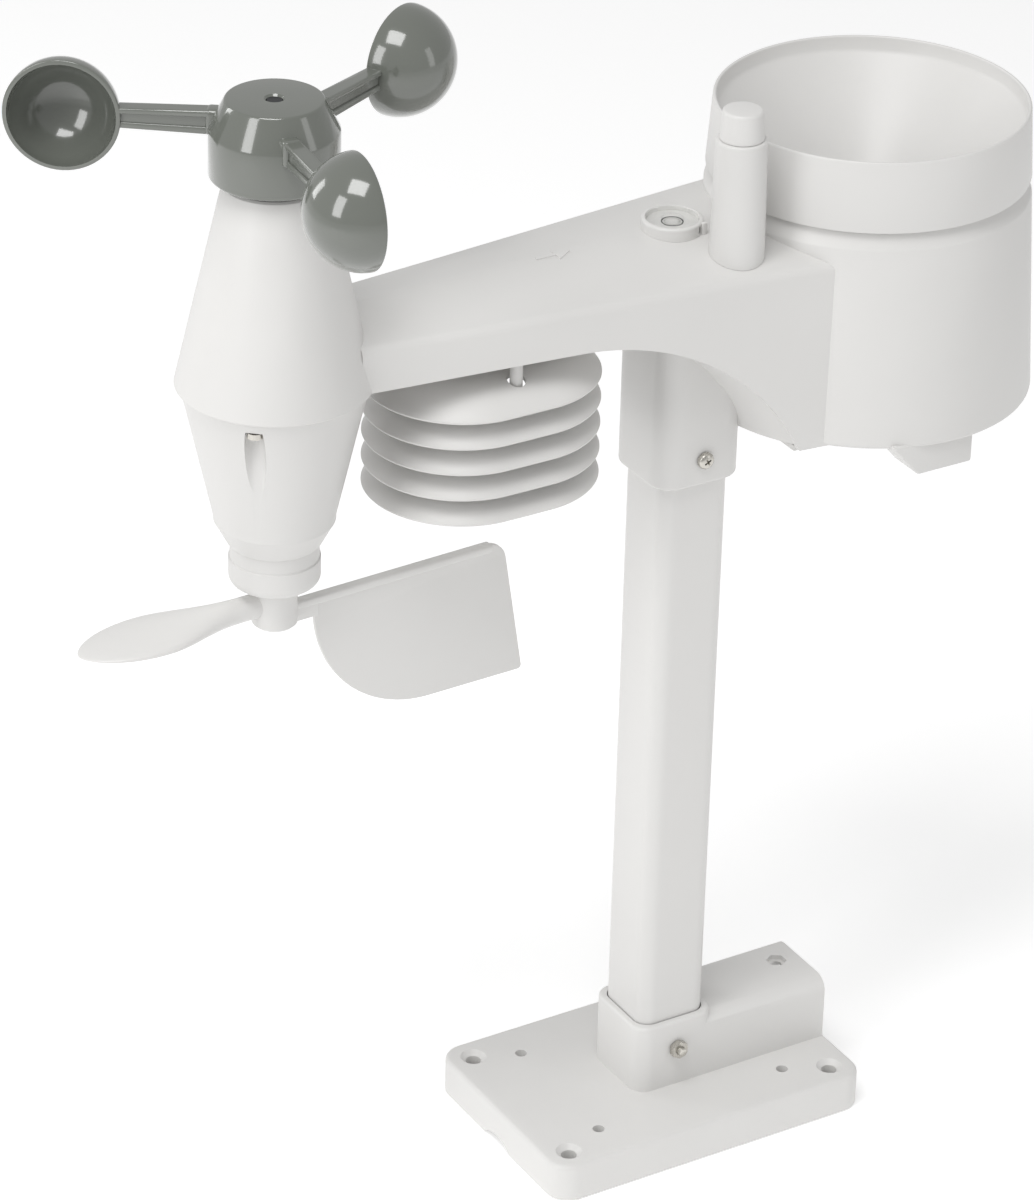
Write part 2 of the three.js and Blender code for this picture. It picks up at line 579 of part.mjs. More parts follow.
function cup() {
  const { r, wall: skin, reach, z } = cups;
  const profile = [...arc(0, 0, r, -90, 0, 6), ...arc(0, 0, r - skin, 0, -90, 5)];
  const points = profile.map(([x, y]) => new THREE.Vector2(Math.max(x, 0), y));
  const bowl = solid(new THREE.LatheGeometry(points, 20).translate(reach, 0, z));
  const mouth = rodY(r - 0.5, -20, 1, reach, z, 20);
  return join(cut(armBar(0, 12.2, reach - 6), mouth), bowl);
}

piece("rotor_hub", rotorHub(), "rotor", windAxis);
for (let i = 0; i < cups.count; i += 1) {
  const turn = new THREE.Group();
  turn.rotation.z = rad(cups.first + (360 * i) / cups.count);
  windAxis.add(turn);
  piece(`wind_cup_${i + 1}`, cup(), "rotor", turn);
}
piece("hub_screw", rod(2.3, hub.top - 1.7, hub.top - 0.6, 0, 0, 20), "black", windAxis);
piece("rotor_shaft", rod(shaft.r, 346, hub.top - 5.8, 0, 0, 16), "steel", windAxis);
piece("rotor_bearing", turned([
  [shaft.hole, 360], [3.7, 360], [3.7, cone.top + gap], [5, cone.top + gap], [5, cone.top + 1.2],
  [shaft.hole, cone.top + 1.2], [shaft.hole, 360],
], 16), "brass", windAxis);
const speedMagnetZ = deck.speedZ + 8;
const speedMagnet = ringBody(shaft.hole, deck.magnetR, speedMagnetZ, speedMagnetZ + deck.magnetH);
piece("rotor_magnet", speedMagnet, "steel", windAxis);
piece("speed_board", rod(deck.r, deck.speedZ, deck.speedZ + deck.thick, 0, 0, 24), "board", windAxis);

// ------------------------------------------------------------------- wind vane

const vaneTurn = new THREE.Group();
vaneTurn.rotation.z = rad(vane.turn);
windAxis.add(vaneTurn);

function vaneBody() {
  const { hubR, hubTop, hubBottom, spineZ, leafZ } = vane;
  const hubBody = turned([
    [0, hubBottom], [hubR - 0.9, hubBottom], [hubR, hubBottom + 0.9], [hubR, hubTop],
    [0, hubTop],
  ], 24);
  const blade = [
    [5, spineZ - 6], [11, spineZ - 6], ...arc(38.5, 206, 27, 172, 262, 8), [88.4, 178.2],
    [90.6, 179.6], ...arc(78, 220.6, 5.6, 8, 90, 4), [5, spineZ],
  ];
  const fin = alongY(blade, -0.8, 0.8);
  const spine = alongX([[-1.9, spineZ - 2.6], [1.9, spineZ - 2.6], [1.9, spineZ], [-1.9, spineZ]], 5, 77);
  // A flat leaf balances the blade.
  const leafLength = 68.5;
  const steps = 16;
  const leafHalf = (s) => 4.2 * (1 - s) ** 2 + 13.4 * Math.sqrt(Math.max(0, 1 - s ** 4)) * s ** 0.8;
  const edge = Array.from({ length: steps + 1 }, (_, i) => {
    const s = 1 - (1 - i / steps) ** 1.6;
    return [-leafLength * s, i === steps ? 0 : leafHalf(s)];
  });
  const outline = [...edge, ...edge.slice(0, -1).map(([x, y]) => [x, -y]).reverse()];
  const slab = upright(outline, leafZ - 1.1, leafZ + 1.1);
  const middle = upright(outline.map(([x, y]) => [x * 0.955, y * 0.72]), leafZ - 1.9, leafZ + 2.1);
  const body = join(hubBody, fin, spine, slab, middle);
  return cut(body, rod(shaft.hole, hubTop - 9, hubTop + 1, 0, 0, 16));
}

piece("wind_vane", vaneBody(), "shell", vaneTurn);
piece("vane_shaft", rod(shaft.r, vane.hubTop - 8.7, 262, 0, 0, 16), "steel", vaneTurn);
const vaneMagnetZ = deck.directionZ - 10;
const vaneMagnet = ringBody(shaft.hole, deck.magnetR, vaneMagnetZ, vaneMagnetZ + deck.magnetH);
piece("vane_magnet", vaneMagnet, "steel", vaneTurn);
piece("vane_bearing", turned([
  [shaft.hole, pod.bottom + 0.2], [3.7, pod.bottom + 0.2], [3.7, pod.bottom + 8],
  [shaft.hole, pod.bottom + 8], [shaft.hole, pod.bottom + 0.2],
], 16), "brass", windAxis);
const directionBoard = rod(deck.r, deck.directionZ, deck.directionZ + deck.thick, 0, 0, 24);
piece("direction_board", directionBoard, "board", windAxis);

// ------------------------------------------------------------ radiation shield

// A louvre is a flared skirt: its rim is its lowest edge and it rises inwards.
function louvre(rimZ, closed) {
  const { halfFlat, r, rise, skin, x } = shield;
  const steps = 6;
  const rings = 3;
  const slope = Array.from({ length: rings + 1 }, (_, i) => {
    const s = i / rings;
    return [15 * s, rimZ + rise * Math.sin((s * Math.PI) / 2) ** 0.9];
  });
  const loop = (inset, z) =>
    stadium(halfFlat, r - inset, steps).map(([px, py]) => new THREE.Vector3(px, py, z));
  const dome = (drop, low) => join(...slope.slice(0, -1).map(([inset, z], i) => {
    const [nextInset, nextZ] = slope[i + 1];
    const points = [...loop(inset, low), ...loop(inset, z - drop), ...loop(nextInset, nextZ - drop)];
    return solid(new ConvexGeometry(points));
  }));
  const outside = dome(0, rimZ - 0.8);
  const shell = cut(outside, dome(skin, rimZ - 4));
  const lid = upright(stadium(halfFlat, r - 14.4, steps), rimZ + rise - skin, rimZ + rise);
  const hole = upright(stadium(halfFlat, r - 17.2, steps), rimZ + rise - 4, rimZ + rise + 2);
  const eyes = [];
  const bores = closed ? [] : [hole];
  for (const side of [-1, 1]) {
    const eye = rod(post.r + 1.8, rimZ + 4.2, rimZ + rise + 0.2, 0, side * (post.y - 0.6), 10);
    eyes.push(eye.intersect(outside));
    bores.push(rod(post.r + gap, rimZ - 4, rimZ + 14, 0, side * post.y, 10));
  }
  return cut(join(shell, lid, ...eyes), ...bores).translate([x, 0, 0]);
}

for (let i = 0; i < shield.count; i += 1) {
  const closed = i === 0 || i === shield.count - 1;
  piece(`louvre_${i + 1}`, louvre(shield.topRim - i * shield.pitch, closed), "shell");
}
const shieldBottom = shield.topRim - (shield.count - 1) * shield.pitch;
for (const [name, side] of [["front", -1], ["rear", 1]]) {
  const stem = rod(post.r, shieldBottom + 2, arm.bottom - gap, shield.x, side * post.y, 16);
  const tip = rod(1.3, arm.bottom - 1, arm.bottom + 5, shield.x, side * post.y, 12);
  piece(`shield_post_${name}`, join(stem, tip), "shell");
}
piece("air_sensor_board", block(shield.x - 5, shield.x + 5, -0.8, 0.8, 262, 294), "board");

export default station;
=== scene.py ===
# %% [markdown]
# # An outdoor weather sensor, modelled by hand in Blender
# The object is a rain gauge and a wind sensor at the two ends of one arm, with a
# louvred air shield under it, all carried by a square pole in a screw-down base.
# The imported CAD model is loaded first. It gives every place and size, so a piece
# that is modelled here lands where the real one is.

# %% Load the frame
import json
import math
from itertools import pairwise

import bmesh
import bpy
from mathutils import Matrix, Vector


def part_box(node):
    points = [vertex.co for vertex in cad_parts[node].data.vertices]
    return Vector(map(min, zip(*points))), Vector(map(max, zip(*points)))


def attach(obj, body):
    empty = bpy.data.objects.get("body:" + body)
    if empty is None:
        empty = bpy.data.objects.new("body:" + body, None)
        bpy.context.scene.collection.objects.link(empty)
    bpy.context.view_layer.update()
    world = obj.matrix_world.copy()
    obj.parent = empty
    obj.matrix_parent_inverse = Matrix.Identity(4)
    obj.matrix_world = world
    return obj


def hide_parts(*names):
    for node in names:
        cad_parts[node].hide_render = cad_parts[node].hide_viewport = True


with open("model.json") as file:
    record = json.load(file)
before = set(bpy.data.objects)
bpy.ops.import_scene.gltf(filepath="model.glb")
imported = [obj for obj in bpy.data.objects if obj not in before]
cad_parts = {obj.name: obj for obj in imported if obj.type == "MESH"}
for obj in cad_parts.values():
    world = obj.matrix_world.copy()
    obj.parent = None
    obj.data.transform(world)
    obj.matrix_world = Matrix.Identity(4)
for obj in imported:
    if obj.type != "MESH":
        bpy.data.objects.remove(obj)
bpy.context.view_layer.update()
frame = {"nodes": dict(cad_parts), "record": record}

MM = 0.001

# %% [markdown]
# Most measures below are in millimetres, as a drawing has them. Two small helpers
# read a CAD node's box, so that a piece is placed by the part it stands for.


# %% Read places from the frame
def low(node):
    return [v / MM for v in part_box(node)[0]]


def high(node):
    return [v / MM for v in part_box(node)[1]]


def middle(node):
    return [(a + b) / 2 for a, b in zip(low(node), high(node))]


wind_x = middle("wind_pod")[0]
gauge_x = middle("rain_collector")[0]
shield_x = middle("louvre_1")[0]
print(f"wind axis at x {wind_x:.1f}, gauge axis at x {gauge_x:.1f}")

# %% [markdown]
# ## Selecting and shaping
# Blender's operators act on whatever is selected. Each helper below first clears
# the selection, then picks faces or edges by where they are, the way a person
# would click them in edit mode.


# %% Selection helpers
def only(piece):
    bpy.ops.object.select_all(action="DESELECT")
    piece.select_set(True)
    bpy.context.view_layer.objects.active = piece


def edit(piece):
    only(piece)
    bpy.ops.object.mode_set(mode="EDIT")


def leave():
    bpy.ops.object.mode_set(mode="OBJECT")


def pick(piece, kind, test):
    """In edit mode, selects the verts, edges or faces that pass the test."""
    bpy.ops.mesh.select_mode(type={"verts": "VERT", "edges": "EDGE", "faces": "FACE"}[kind])
    bpy.ops.mesh.select_all(action="DESELECT")
    mesh = bmesh.from_edit_mesh(piece.data)
    for item in getattr(mesh, kind):
        item.select = bool(test(item))
    mesh.select_flush_mode()
    bmesh.update_edit_mesh(piece.data)


def ends(edge):
    return [v.co / MM for v in edge.verts]


def close_up(piece):
    """Merges doubles, fills open ends and points every face outwards."""
    edit(piece)
    bpy.ops.mesh.select_all(action="SELECT")
    bpy.ops.mesh.remove_doubles(threshold=0.00001)
    bpy.ops.mesh.select_all(action="SELECT")
    bpy.ops.mesh.fill_holes(sides=0)
    bpy.ops.mesh.select_all(action="SELECT")
    bpy.ops.mesh.normals_make_consistent(inside=False)
    leave()


# %% [markdown]
# A turned piece starts as a ring of vertices. The ring is extruded upwards and
# resized again and again along a profile, like clay on a wheel. It needs no
# curve object, and it keeps clean rings that shade smoothly.


# %% Round pieces
def turned(profile, x=0, y=0, sides=96):
    """profile holds (radius, height) pairs in mm; ends that aren't on the axis are filled."""
    radius, height = profile[0]
    bpy.ops.object.select_all(action="DESELECT")
    bpy.ops.mesh.primitive_circle_add(vertices=sides, radius=radius * MM,
                                      location=(x * MM, y * MM, height * MM))
    piece = bpy.context.object
    bpy.ops.object.transform_apply()
    bpy.ops.object.mode_set(mode="EDIT")
    for (r, z), (next_r, next_z) in pairwise(profile):
        bpy.ops.mesh.extrude_region_move(TRANSFORM_OT_translate={"value": (0, 0, (next_z - z) * MM)})
        grow = next_r / r
        bpy.ops.transform.resize(value=(grow, grow, 1), center_override=(x * MM, y * MM, next_z * MM))
    leave()
    close_up(piece)
    return piece


def curve(cx, cz, r, start, end, steps=5):
    """Points of an arc in a profile: centre, radius and two angles in degrees."""
    angles = [math.radians(start + (end - start) * i / steps) for i in range(steps + 1)]
    return [(cx + r * math.cos(a), cz + r * math.sin(a)) for a in angles]


# %% [markdown]
# Square pieces start as a cube at their size and place. Their upright edges are
# bevelled first, with the large corner radius, and then their rims with the
# small radius that every moulded edge has.


# %% Square pieces
def block(low_corner, high_corner):
    centre = [(a + b) / 2 * MM for a, b in zip(low_corner, high_corner)]
    size = [(b - a) * MM for a, b in zip(low_corner, high_corner)]
    bpy.ops.object.select_all(action="DESELECT")
    bpy.ops.mesh.primitive_cube_add(size=1, location=centre, scale=size)
    bpy.ops.object.transform_apply()
    return bpy.context.object


def bevel_edges(piece, test, width, steps):
    edit(piece)
    pick(piece, "edges", test)
    bpy.ops.mesh.bevel(offset=width * MM, segments=steps, affect="EDGES", clamp_overlap=True)
    leave()


def is_upright(edge):
    a, b = ends(edge)
    return abs(a.z - b.z) > 0.5 and (a.xy - b.xy).length < 0.01


def is_level_at(edge, z):
    return all(abs(p.z - z) < 0.02 for p in ends(edge))


def rounded_block(low_corner, high_corner, corner, top=0.0, bottom=0.0, steps=10):
    piece = block(low_corner, high_corner)
    bevel_edges(piece, is_upright, corner, steps)
    if top:
        bevel_edges(piece, lambda e: is_level_at(e, high_corner[2]), top, 4)
    if bottom:
        bevel_edges(piece, lambda e: is_level_at(e, low_corner[2]), bottom, 4)
    return piece


def rod(r, start, end, sides=32, axis="Z"):
    """A cylinder between two points in mm that lie along the named axis."""
    quarter = math.pi / 2
    turn = {"X": (0, quarter, 0), "Y": (quarter, 0, 0), "Z": (0, 0, 0)}[axis]
    centre = [(a + b) / 2 * MM for a, b in zip(start, end)]
    length = max(abs(b - a) for a, b in zip(start, end)) * MM
    bpy.ops.object.select_all(action="DESELECT")
    bpy.ops.mesh.primitive_cylinder_add(vertices=sides, radius=r * MM, depth=length,
                                        location=centre, rotation=turn)
    bpy.ops.object.transform_apply()
    return bpy.context.object


# %% [markdown]
# Pieces are joined and cut with the Boolean modifier, applied at once, so that
# what is left is one plain mesh. A Bevel modifier then rounds the sharp edges
# that the cutting left.


# %% Joining, cutting and rounding
def boolean(piece, tool, how):
    step = piece.modifiers.new("join", "BOOLEAN")
    step.operation = how
    step.object = tool
    only(piece)
    bpy.ops.object.modifier_apply(modifier=step.name)
    bpy.data.objects.remove(tool)
    return piece


def cut(piece, *tools):
    for tool in tools:
        boolean(piece, tool, "DIFFERENCE")
    return piece


def fuse(piece, *tools):
    for tool in tools:
        boolean(piece, tool, "UNION")
    return piece


def soften(piece, width, steps=2, angle=32):
    step = piece.modifiers.new("round", "BEVEL")
    step.width = width * MM
    step.segments = steps
    step.limit_method = "ANGLE"
    step.angle_limit = math.radians(angle)
    step.use_clamp_overlap = True
    only(piece)
    bpy.ops.object.modifier_apply(modifier=step.name)
    return piece


record = frame["record"]
bodies = record["behaviour"]["bodies"]
body_of_node = {node: body for body, nodes in bodies.items() for node in nodes}
slot_of_node = {part["node"]: part["material_slot"] for part in record["subparts"]}


def keep(piece, node, material, name=None, angle=32, replaces=True):
    """Names a finished piece, gives it its material and ties it to its CAD node's body."""
    only(piece)
    bpy.ops.object.transform_apply(location=True, rotation=True, scale=True)
    bpy.ops.object.shade_smooth_by_angle(angle=math.radians(angle))
    piece.name = name or node + "_look"
    piece.data.name = piece.name
    piece.data.materials.clear()
    piece.data.materials.append(material)
    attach(piece, body_of_node[node])
    if replaces:
        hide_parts(node)
    print(f"{piece.name}: {len(piece.data.polygons)} faces")
    return piece


# %% [markdown]
# ## Materials
# Colours are given as sRGB hex values, the way a paint chart has them, and turned
# to the linear values that Blender's shaders work in. One function adds a node
# with its settings and its links, and every material below is made with it.


# %% Material helpers
def linear(hex_colour):
    channels = [int(hex_colour[i:i + 2], 16) / 255 for i in (1, 3, 5)]
    return [c / 12.92 if c <= 0.04045 else ((c + 0.055) / 1.055) ** 2.4 for c in channels] + [1]


def add_node(tree, kind, settings=None, links=None):
    """settings go to the node's properties or sockets; links join its sockets to others."""
    node = tree.nodes.new(kind)
    for name, value in (settings or {}).items():
        if hasattr(node, name):
            setattr(node, name, value)
        else:
            node.inputs[name].default_value = value
    for name, source in (links or {}).items():
        tree.links.new(source, node.inputs[name])
    return node


def new_material(name):
    material = bpy.data.materials.new(name)
    material.use_nodes = True
    tree = material.node_tree
    tree.nodes.clear()
    place = add_node(tree, "ShaderNodeTexCoord").outputs["Object"]
    return material, tree, place


def finish_material(material, tree, surface):
    material.diffuse_color = surface.inputs["Base Color"].default_value
    add_node(tree, "ShaderNodeOutputMaterial", links={"Surface": surface.outputs["BSDF"]})
    print("material", material.name)
    return material


def grains_per_metre(size_mm):
    return 1 / (size_mm * MM)


# %% [markdown]
# The housings are ASA, the weatherproof cousin of ABS, moulded in a mould with a
# fine spark-eroded texture. That gives a warm white with a broad soft sheen, a
# very fine grain and, over large faces, slight clouding where the melt flowed.
# The real grain is about 0.1 mm; it is drawn at 0.45 mm so that it shows.


# %% Moulded plastics
CLOUD_MM = 26


def moulded_plastic(name, colour, cloud, roughness, grain_mm, depth, coat=0.0, ior=1.5):
    material, tree, place = new_material(name)
    flow = add_node(tree, "ShaderNodeTexNoise",
                    {"Scale": grains_per_metre(CLOUD_MM), "Detail": 3.0, "Roughness": 0.55},
                    {"Vector": place})
    tint = add_node(tree, "ShaderNodeMix", {"data_type": "RGBA"}, {0: flow.outputs["Fac"]})
    tint.inputs[6].default_value = linear(cloud)
    tint.inputs[7].default_value = linear(colour)
    grain = add_node(tree, "ShaderNodeTexNoise",
                     {"Scale": grains_per_metre(grain_mm), "Detail": 2.0, "Roughness": 0.6},
                     {"Vector": place})
    relief = add_node(tree, "ShaderNodeBump", {"Strength": 1.0, "Distance": depth * MM},
                      {"Height": grain.outputs["Fac"]})
    sheen = add_node(tree, "ShaderNodeMapRange",
                     {"interpolation_type": "SMOOTHSTEP", "From Min": 0.15, "From Max": 0.85,
                      "To Min": roughness - 0.03, "To Max": roughness + 0.04},
                     {"Value": flow.outputs["Fac"]})
    surface = add_node(tree, "ShaderNodeBsdfPrincipled",
                       {"Base Color": linear(colour), "IOR": ior, "Coat Weight": coat,
                        "Coat Roughness": 0.06},
                       {"Base Color": tint.outputs[2], "Roughness": sheen.outputs["Result"],
                        "Normal": relief.outputs["Normal"]})
    return finish_material(material, tree, surface)


asa_white = moulded_plastic("asa_housing_white", "#D9D8D6", "#D5D4D2", 0.42, 0.45, 0.012)
asa_smooth = moulded_plastic("asa_polished_white", "#DBDAD8", "#D8D7D5", 0.3, 0.6, 0.006)
asa_base = moulded_plastic("asa_base_white", "#DFDEDC", "#DAD9D7", 0.46, 0.5, 0.02)
abs_grey = moulded_plastic("abs_polished_grey", "#696C66", "#656862", 0.14, 1.2, 0.0004,
                           coat=0.9, ior=1.54)
abs_black = moulded_plastic("abs_moulded_black", "#2A2B2D", "#242527", 0.4, 0.5, 0.01)
lamp_red = moulded_plastic("lamp_lens_red", "#B03A34", "#A8332E", 0.15, 1.0, 0.001, coat=0.5)

# %% [markdown]
# Screws and nuts are nickel-plated steel: bright, a little streaked by the die
# that headed them. Board, brass, cell wrapper and magnet are inside the housing
# and show only when the collector or the battery door is off.


# %% Metals and electronics
def drawn_metal(name, colour, roughness, streak_mm):
    material, tree, place = new_material(name)
    stretch = add_node(tree, "ShaderNodeMapping", {"Scale": (1.0, 1.0, 0.12)}, {"Vector": place})
    streaks = add_node(tree, "ShaderNodeTexNoise",
                       {"Scale": grains_per_metre(streak_mm), "Detail": 3.0},
                       {"Vector": stretch.outputs["Vector"]})
    polish = add_node(tree, "ShaderNodeMapRange",
                      {"To Min": roughness - 0.06, "To Max": roughness + 0.1},
                      {"Value": streaks.outputs["Fac"]})
    relief = add_node(tree, "ShaderNodeBump", {"Strength": 0.6, "Distance": 0.006 * MM},
                      {"Height": streaks.outputs["Fac"]})
    surface = add_node(tree, "ShaderNodeBsdfPrincipled",
                       {"Base Color": linear(colour), "Metallic": 1.0},
                       {"Roughness": polish.outputs["Result"], "Normal": relief.outputs["Normal"]})
    return finish_material(material, tree, surface)


def circuit_board(name, colour, track):
    material, tree, place = new_material(name)
    lanes = add_node(tree, "ShaderNodeTexBrick", {"Scale": grains_per_metre(9), "Mortar Size": 0.03},
                     {"Vector": place})
    lanes.inputs["Color1"].default_value = linear(colour)
    lanes.inputs["Color2"].default_value = linear(colour)
    lanes.inputs["Mortar"].default_value = linear(track)
    surface = add_node(tree, "ShaderNodeBsdfPrincipled",
                       {"Base Color": linear(colour), "Roughness": 0.35, "IOR": 1.55},
                       {"Base Color": lanes.outputs["Color"]})
    return finish_material(material, tree, surface)


nickel_steel = drawn_metal("nickel_plated_steel", "#C9C6BF", 0.26, 0.8)
bare_brass = drawn_metal("drawn_brass", "#C9A65A", 0.3, 0.8)
epoxy_board = circuit_board("epoxy_glass_board", "#2F6B3C", "#4E8A55")
cell_wrap = moulded_plastic("printed_cell_wrapper", "#3A4A63", "#34435A", 0.28, 1.5, 0.002, coat=0.3)

# %% [markdown]
# The vial of the bubble level is clear acrylic filled with pale spirit. Acrylic
# bends light a little less than glass, with an IOR of 1.49, and the moulded dome
# is almost perfectly smooth. Part of it is plain see-through, so that light
# reaches the disc below.


# %% Clear acrylic
def clear_acrylic(name, colour):
    material, tree, place = new_material(name)
    ripple = add_node(tree, "ShaderNodeTexNoise", {"Scale": grains_per_metre(5)}, {"Vector": place})
    relief = add_node(tree, "ShaderNodeBump", {"Strength": 0.3, "Distance": 0.01 * MM},
                      {"Height": ripple.outputs["Fac"]})
    surface = add_node(tree, "ShaderNodeBsdfPrincipled",
                       {"Base Color": linear(colour), "Roughness": 0.03, "IOR": 1.49,
                        "Transmission Weight": 1.0, "Alpha": 0.15},
                       {"Normal": relief.outputs["Normal"]})
    return finish_material(material, tree, surface)


acrylic = clear_acrylic("clear_acrylic", "#F4F7F0")
spirit = clear_acrylic("level_spirit", "#E3E9D2")
ink = moulded_plastic("printed_ring_ink", "#2B2C2E", "#262729", 0.5, 0.5, 0.002)

# %% [markdown]
# ## The base
# The base plate is one moulding: a low slab, a socket for the pole and a long
# ridge that takes the pole lying down instead. Each is a rounded block; they are
# fused, hollowed from below and drilled.

# %% Base plate, socket and ridge
plate_low, plate_high = low("mounting_base"), high("mounting_base")
plate_top, plate_wall, plate_room = 13, 3, 10
socket_half = 15
ridge_end, ridge_top = 58.8, 36
screw_x, screw_y = 51, 31
corners = [(side_x, side_y) for side_x in (-1, 1) for side_y in (-1, 1)]
base = rounded_block(plate_low, [plate_high[0], plate_high[1], plate_top], 8, top=1.6)
socket = rounded_block([-socket_half, -socket_half, 2], [socket_half, socket_half, plate_high[2]],
                       6, top=1.2)
ridge = block([0, -socket_half, 2], [ridge_end, socket_half, ridge_top])


def is_long_top(edge):
    a, b = ends(edge)
    return is_level_at(edge, ridge_top) and abs(a.x - b.x) > 5


bevel_edges(ridge, is_long_top, 5, 8)
fuse(base, socket, ridge)
hollow = rounded_block([plate_low[0] + plate_wall, plate_low[1] + plate_wall, -1],
                       [plate_high[0] - plate_wall, plate_high[1] - plate_wall, plate_room], 5)
core = block([-18, -18, -2], [plate_high[0], 18, plate_room + 1])
cut(hollow, core)
for side_x, side_y in corners:
    x, y = side_x * screw_x, side_y * screw_y
    cut(hollow, rod(6.6, (x, y, -2), (x, y, plate_room + 1)))
cut(base, hollow)

# %% [markdown]
# Four countersunk holes near the corners hold the plate down, with four plain
# pilot holes inside them. The ridge has a sunk hexagon for a nut, and the end
# wall a shallow arch that lets it sit over a pipe.

# %% Holes in the base
pole_half = high("pole")[0]
bore, bore_corner = pole_half + 0.35, 5.3
lying_bore_z = 20.5
pilot_x, pilot_y = 36, 25
nut_x, nut_y = 50.5, 2.5
saddle_r, saddle_z = 12.2, -9.2
bolt_z, collar_screw_z, bolt_hole = 27.6, 248, 1.8
cut(base, rounded_block([-bore, -bore, 3], [bore, bore, 60], bore_corner))
lying_bore = rounded_block([-bore, -bore, 18], [bore, bore, 80], bore_corner)
lying_bore.rotation_euler = (0, math.pi / 2, 0)
lying_bore.location = (0, 0, lying_bore_z * MM)
only(lying_bore)
bpy.ops.object.transform_apply()
cut(base, lying_bore)
sink_profile = [(2.6, -1), (2.6, plate_top - 1.6), (4.4, plate_top), (4.4, plate_top + 2)]
for side_x, side_y in corners:
    sink = turned(sink_profile, side_x * screw_x, side_y * screw_y, sides=40)
    x, y = side_x * pilot_x, side_y * pilot_y
    cut(base, sink, rod(2, (x, y, -1), (x, y, plate_top + 2)))
saddle = rod(saddle_r, (-70, 0, saddle_z), (-19, 0, saddle_z), sides=64, axis="X")
hexagon = rod(3.5, (nut_x, nut_y, ridge_top - 1.6), (nut_x, nut_y, ridge_top + 2), sides=6)
nut_hole = rod(bolt_hole, (nut_x, nut_y, -1), (nut_x, nut_y, ridge_top + 2))
bolt_way = rod(bolt_hole, (0, -20, bolt_z), (0, 20, bolt_z), axis="Y")
cut(base, saddle, hexagon, nut_hole, bolt_way)
keep(base, "mounting_base", asa_base)

# %% [markdown]
# The pole is an extruded square tube with large soft corners. It is a rounded
# block with a smaller one cut out of it.

# %% Pole
pole_wall, pole_corner = 1.6, 5
pole = rounded_block([-pole_half, -pole_half, low("pole")[2]],
                     [pole_half, pole_half, high("pole")[2]], pole_corner, steps=12)
inner = pole_half - pole_wall
cut(pole, rounded_block([-inner, -inner, 0], [inner, inner, 300], pole_corner - pole_wall, steps=12))
for z in (bolt_z, collar_screw_z):
    cut(pole, rod(bolt_hole, (0, -20, z), (0, 20, z), axis="Y"))
keep(pole, "pole", asa_smooth)

# %% [markdown]
# ## The housings
# The arm is a tapered box with a crowned top, moulded in one with the rain
# gauge's body and the wind sensor's cone. The top starts as a grid, so that its
# crown can go from a crisp ridge at the narrow end to a soft dome at the wide
# end, and the grid is then extruded down to make the box.

# %% The arm
arm_start, arm_end = -125, gauge_x
arm_edge, arm_crown = 317, 322.5
underside, gauge_bottom = 302.7, 255
sharp_until, soft_from = -75, 15


def arm_half(x):
    return 33.4 + 0.1024 * x


def crown_height(x, share):
    """Height above the edge; share is 0 on the centre line and 1 at the edge."""
    soft = min(1, max(0, (x - sharp_until) / (soft_from - sharp_until)))
    sharp_rise = 1 - share
    soft_rise = 1 - share ** 2.2
    return (arm_crown - arm_edge) * (sharp_rise * (1 - soft) + soft_rise * soft)


def arm_block(inset, bottom, top_drop, start=arm_start):
    centre = ((start + arm_end) / 2 * MM, 0, arm_edge * MM)
    bpy.ops.object.select_all(action="DESELECT")
    bpy.ops.mesh.primitive_grid_add(x_subdivisions=24, y_subdivisions=12, size=1, location=centre)
    piece = bpy.context.object
    piece.scale = ((arm_end - start) * MM, 2 * MM, 1)
    bpy.ops.object.transform_apply()
    edit(piece)
    bpy.ops.mesh.select_all(action="SELECT")
    bpy.ops.mesh.extrude_region_move(TRANSFORM_OT_translate={"value": (0, 0, (bottom - arm_edge) * MM)})
    mesh = bmesh.from_edit_mesh(piece.data)
    for v in mesh.verts:
        x, share = v.co.x / MM, v.co.y / MM
        v.co.y = share * (arm_half(x) - inset) * MM
        if v.co.z > (bottom + 1) * MM:
            v.co.z = (arm_edge - top_drop + crown_height(x, abs(share))) * MM
    bmesh.update_edit_mesh(piece.data)
    leave()
    close_up(piece)
    return piece


def is_top_edge(edge):
    return all(abs(abs(p.y) - arm_half(p.x)) < 0.05 and p.z > 300 for p in ends(edge))


arm = arm_block(0, 240, 0)
bevel_edges(arm, is_top_edge, 2.4, 5)
print("arm:", len(arm.data.polygons), "faces")

# %% [markdown]
# The gauge body is turned: slightly wider at the bottom, with a shoulder that
# steps in to the neck the collector sits on. Its foot leans out by some two
# millimetres, which gives the upright crease where it meets the arm's side. The
# cone is turned as well. Both are fused to the arm, and the arch that clears the
# pole is cut away with a large cylinder.

# %% Gauge body, cone and arch
ring_top = high("rain_collector")[2]
cone_low, cone_high = 302, 367.3


def gauge_radius(z):
    return 49.4 + 0.064 * (ring_top - z)


shoulder, neck_r = 322.8, 47.6
lean = 0.0373
kept_width = 0.854


def body_radius(z):
    """The radius shrinks as the body leans, so that its near side stays upright."""
    return gauge_radius(z) - kept_width * lean * (shoulder - z)


def leaning(profile, sides):
    """The body leans out a little on the side away from the pole, the lower the more."""
    piece = turned(profile, gauge_x, sides=sides)
    edit(piece)
    mesh = bmesh.from_edit_mesh(piece.data)
    for v in mesh.verts:
        v.co.x += max(0, lean * (shoulder * MM - v.co.z))
    bmesh.update_edit_mesh(piece.data)
    leave()
    return piece


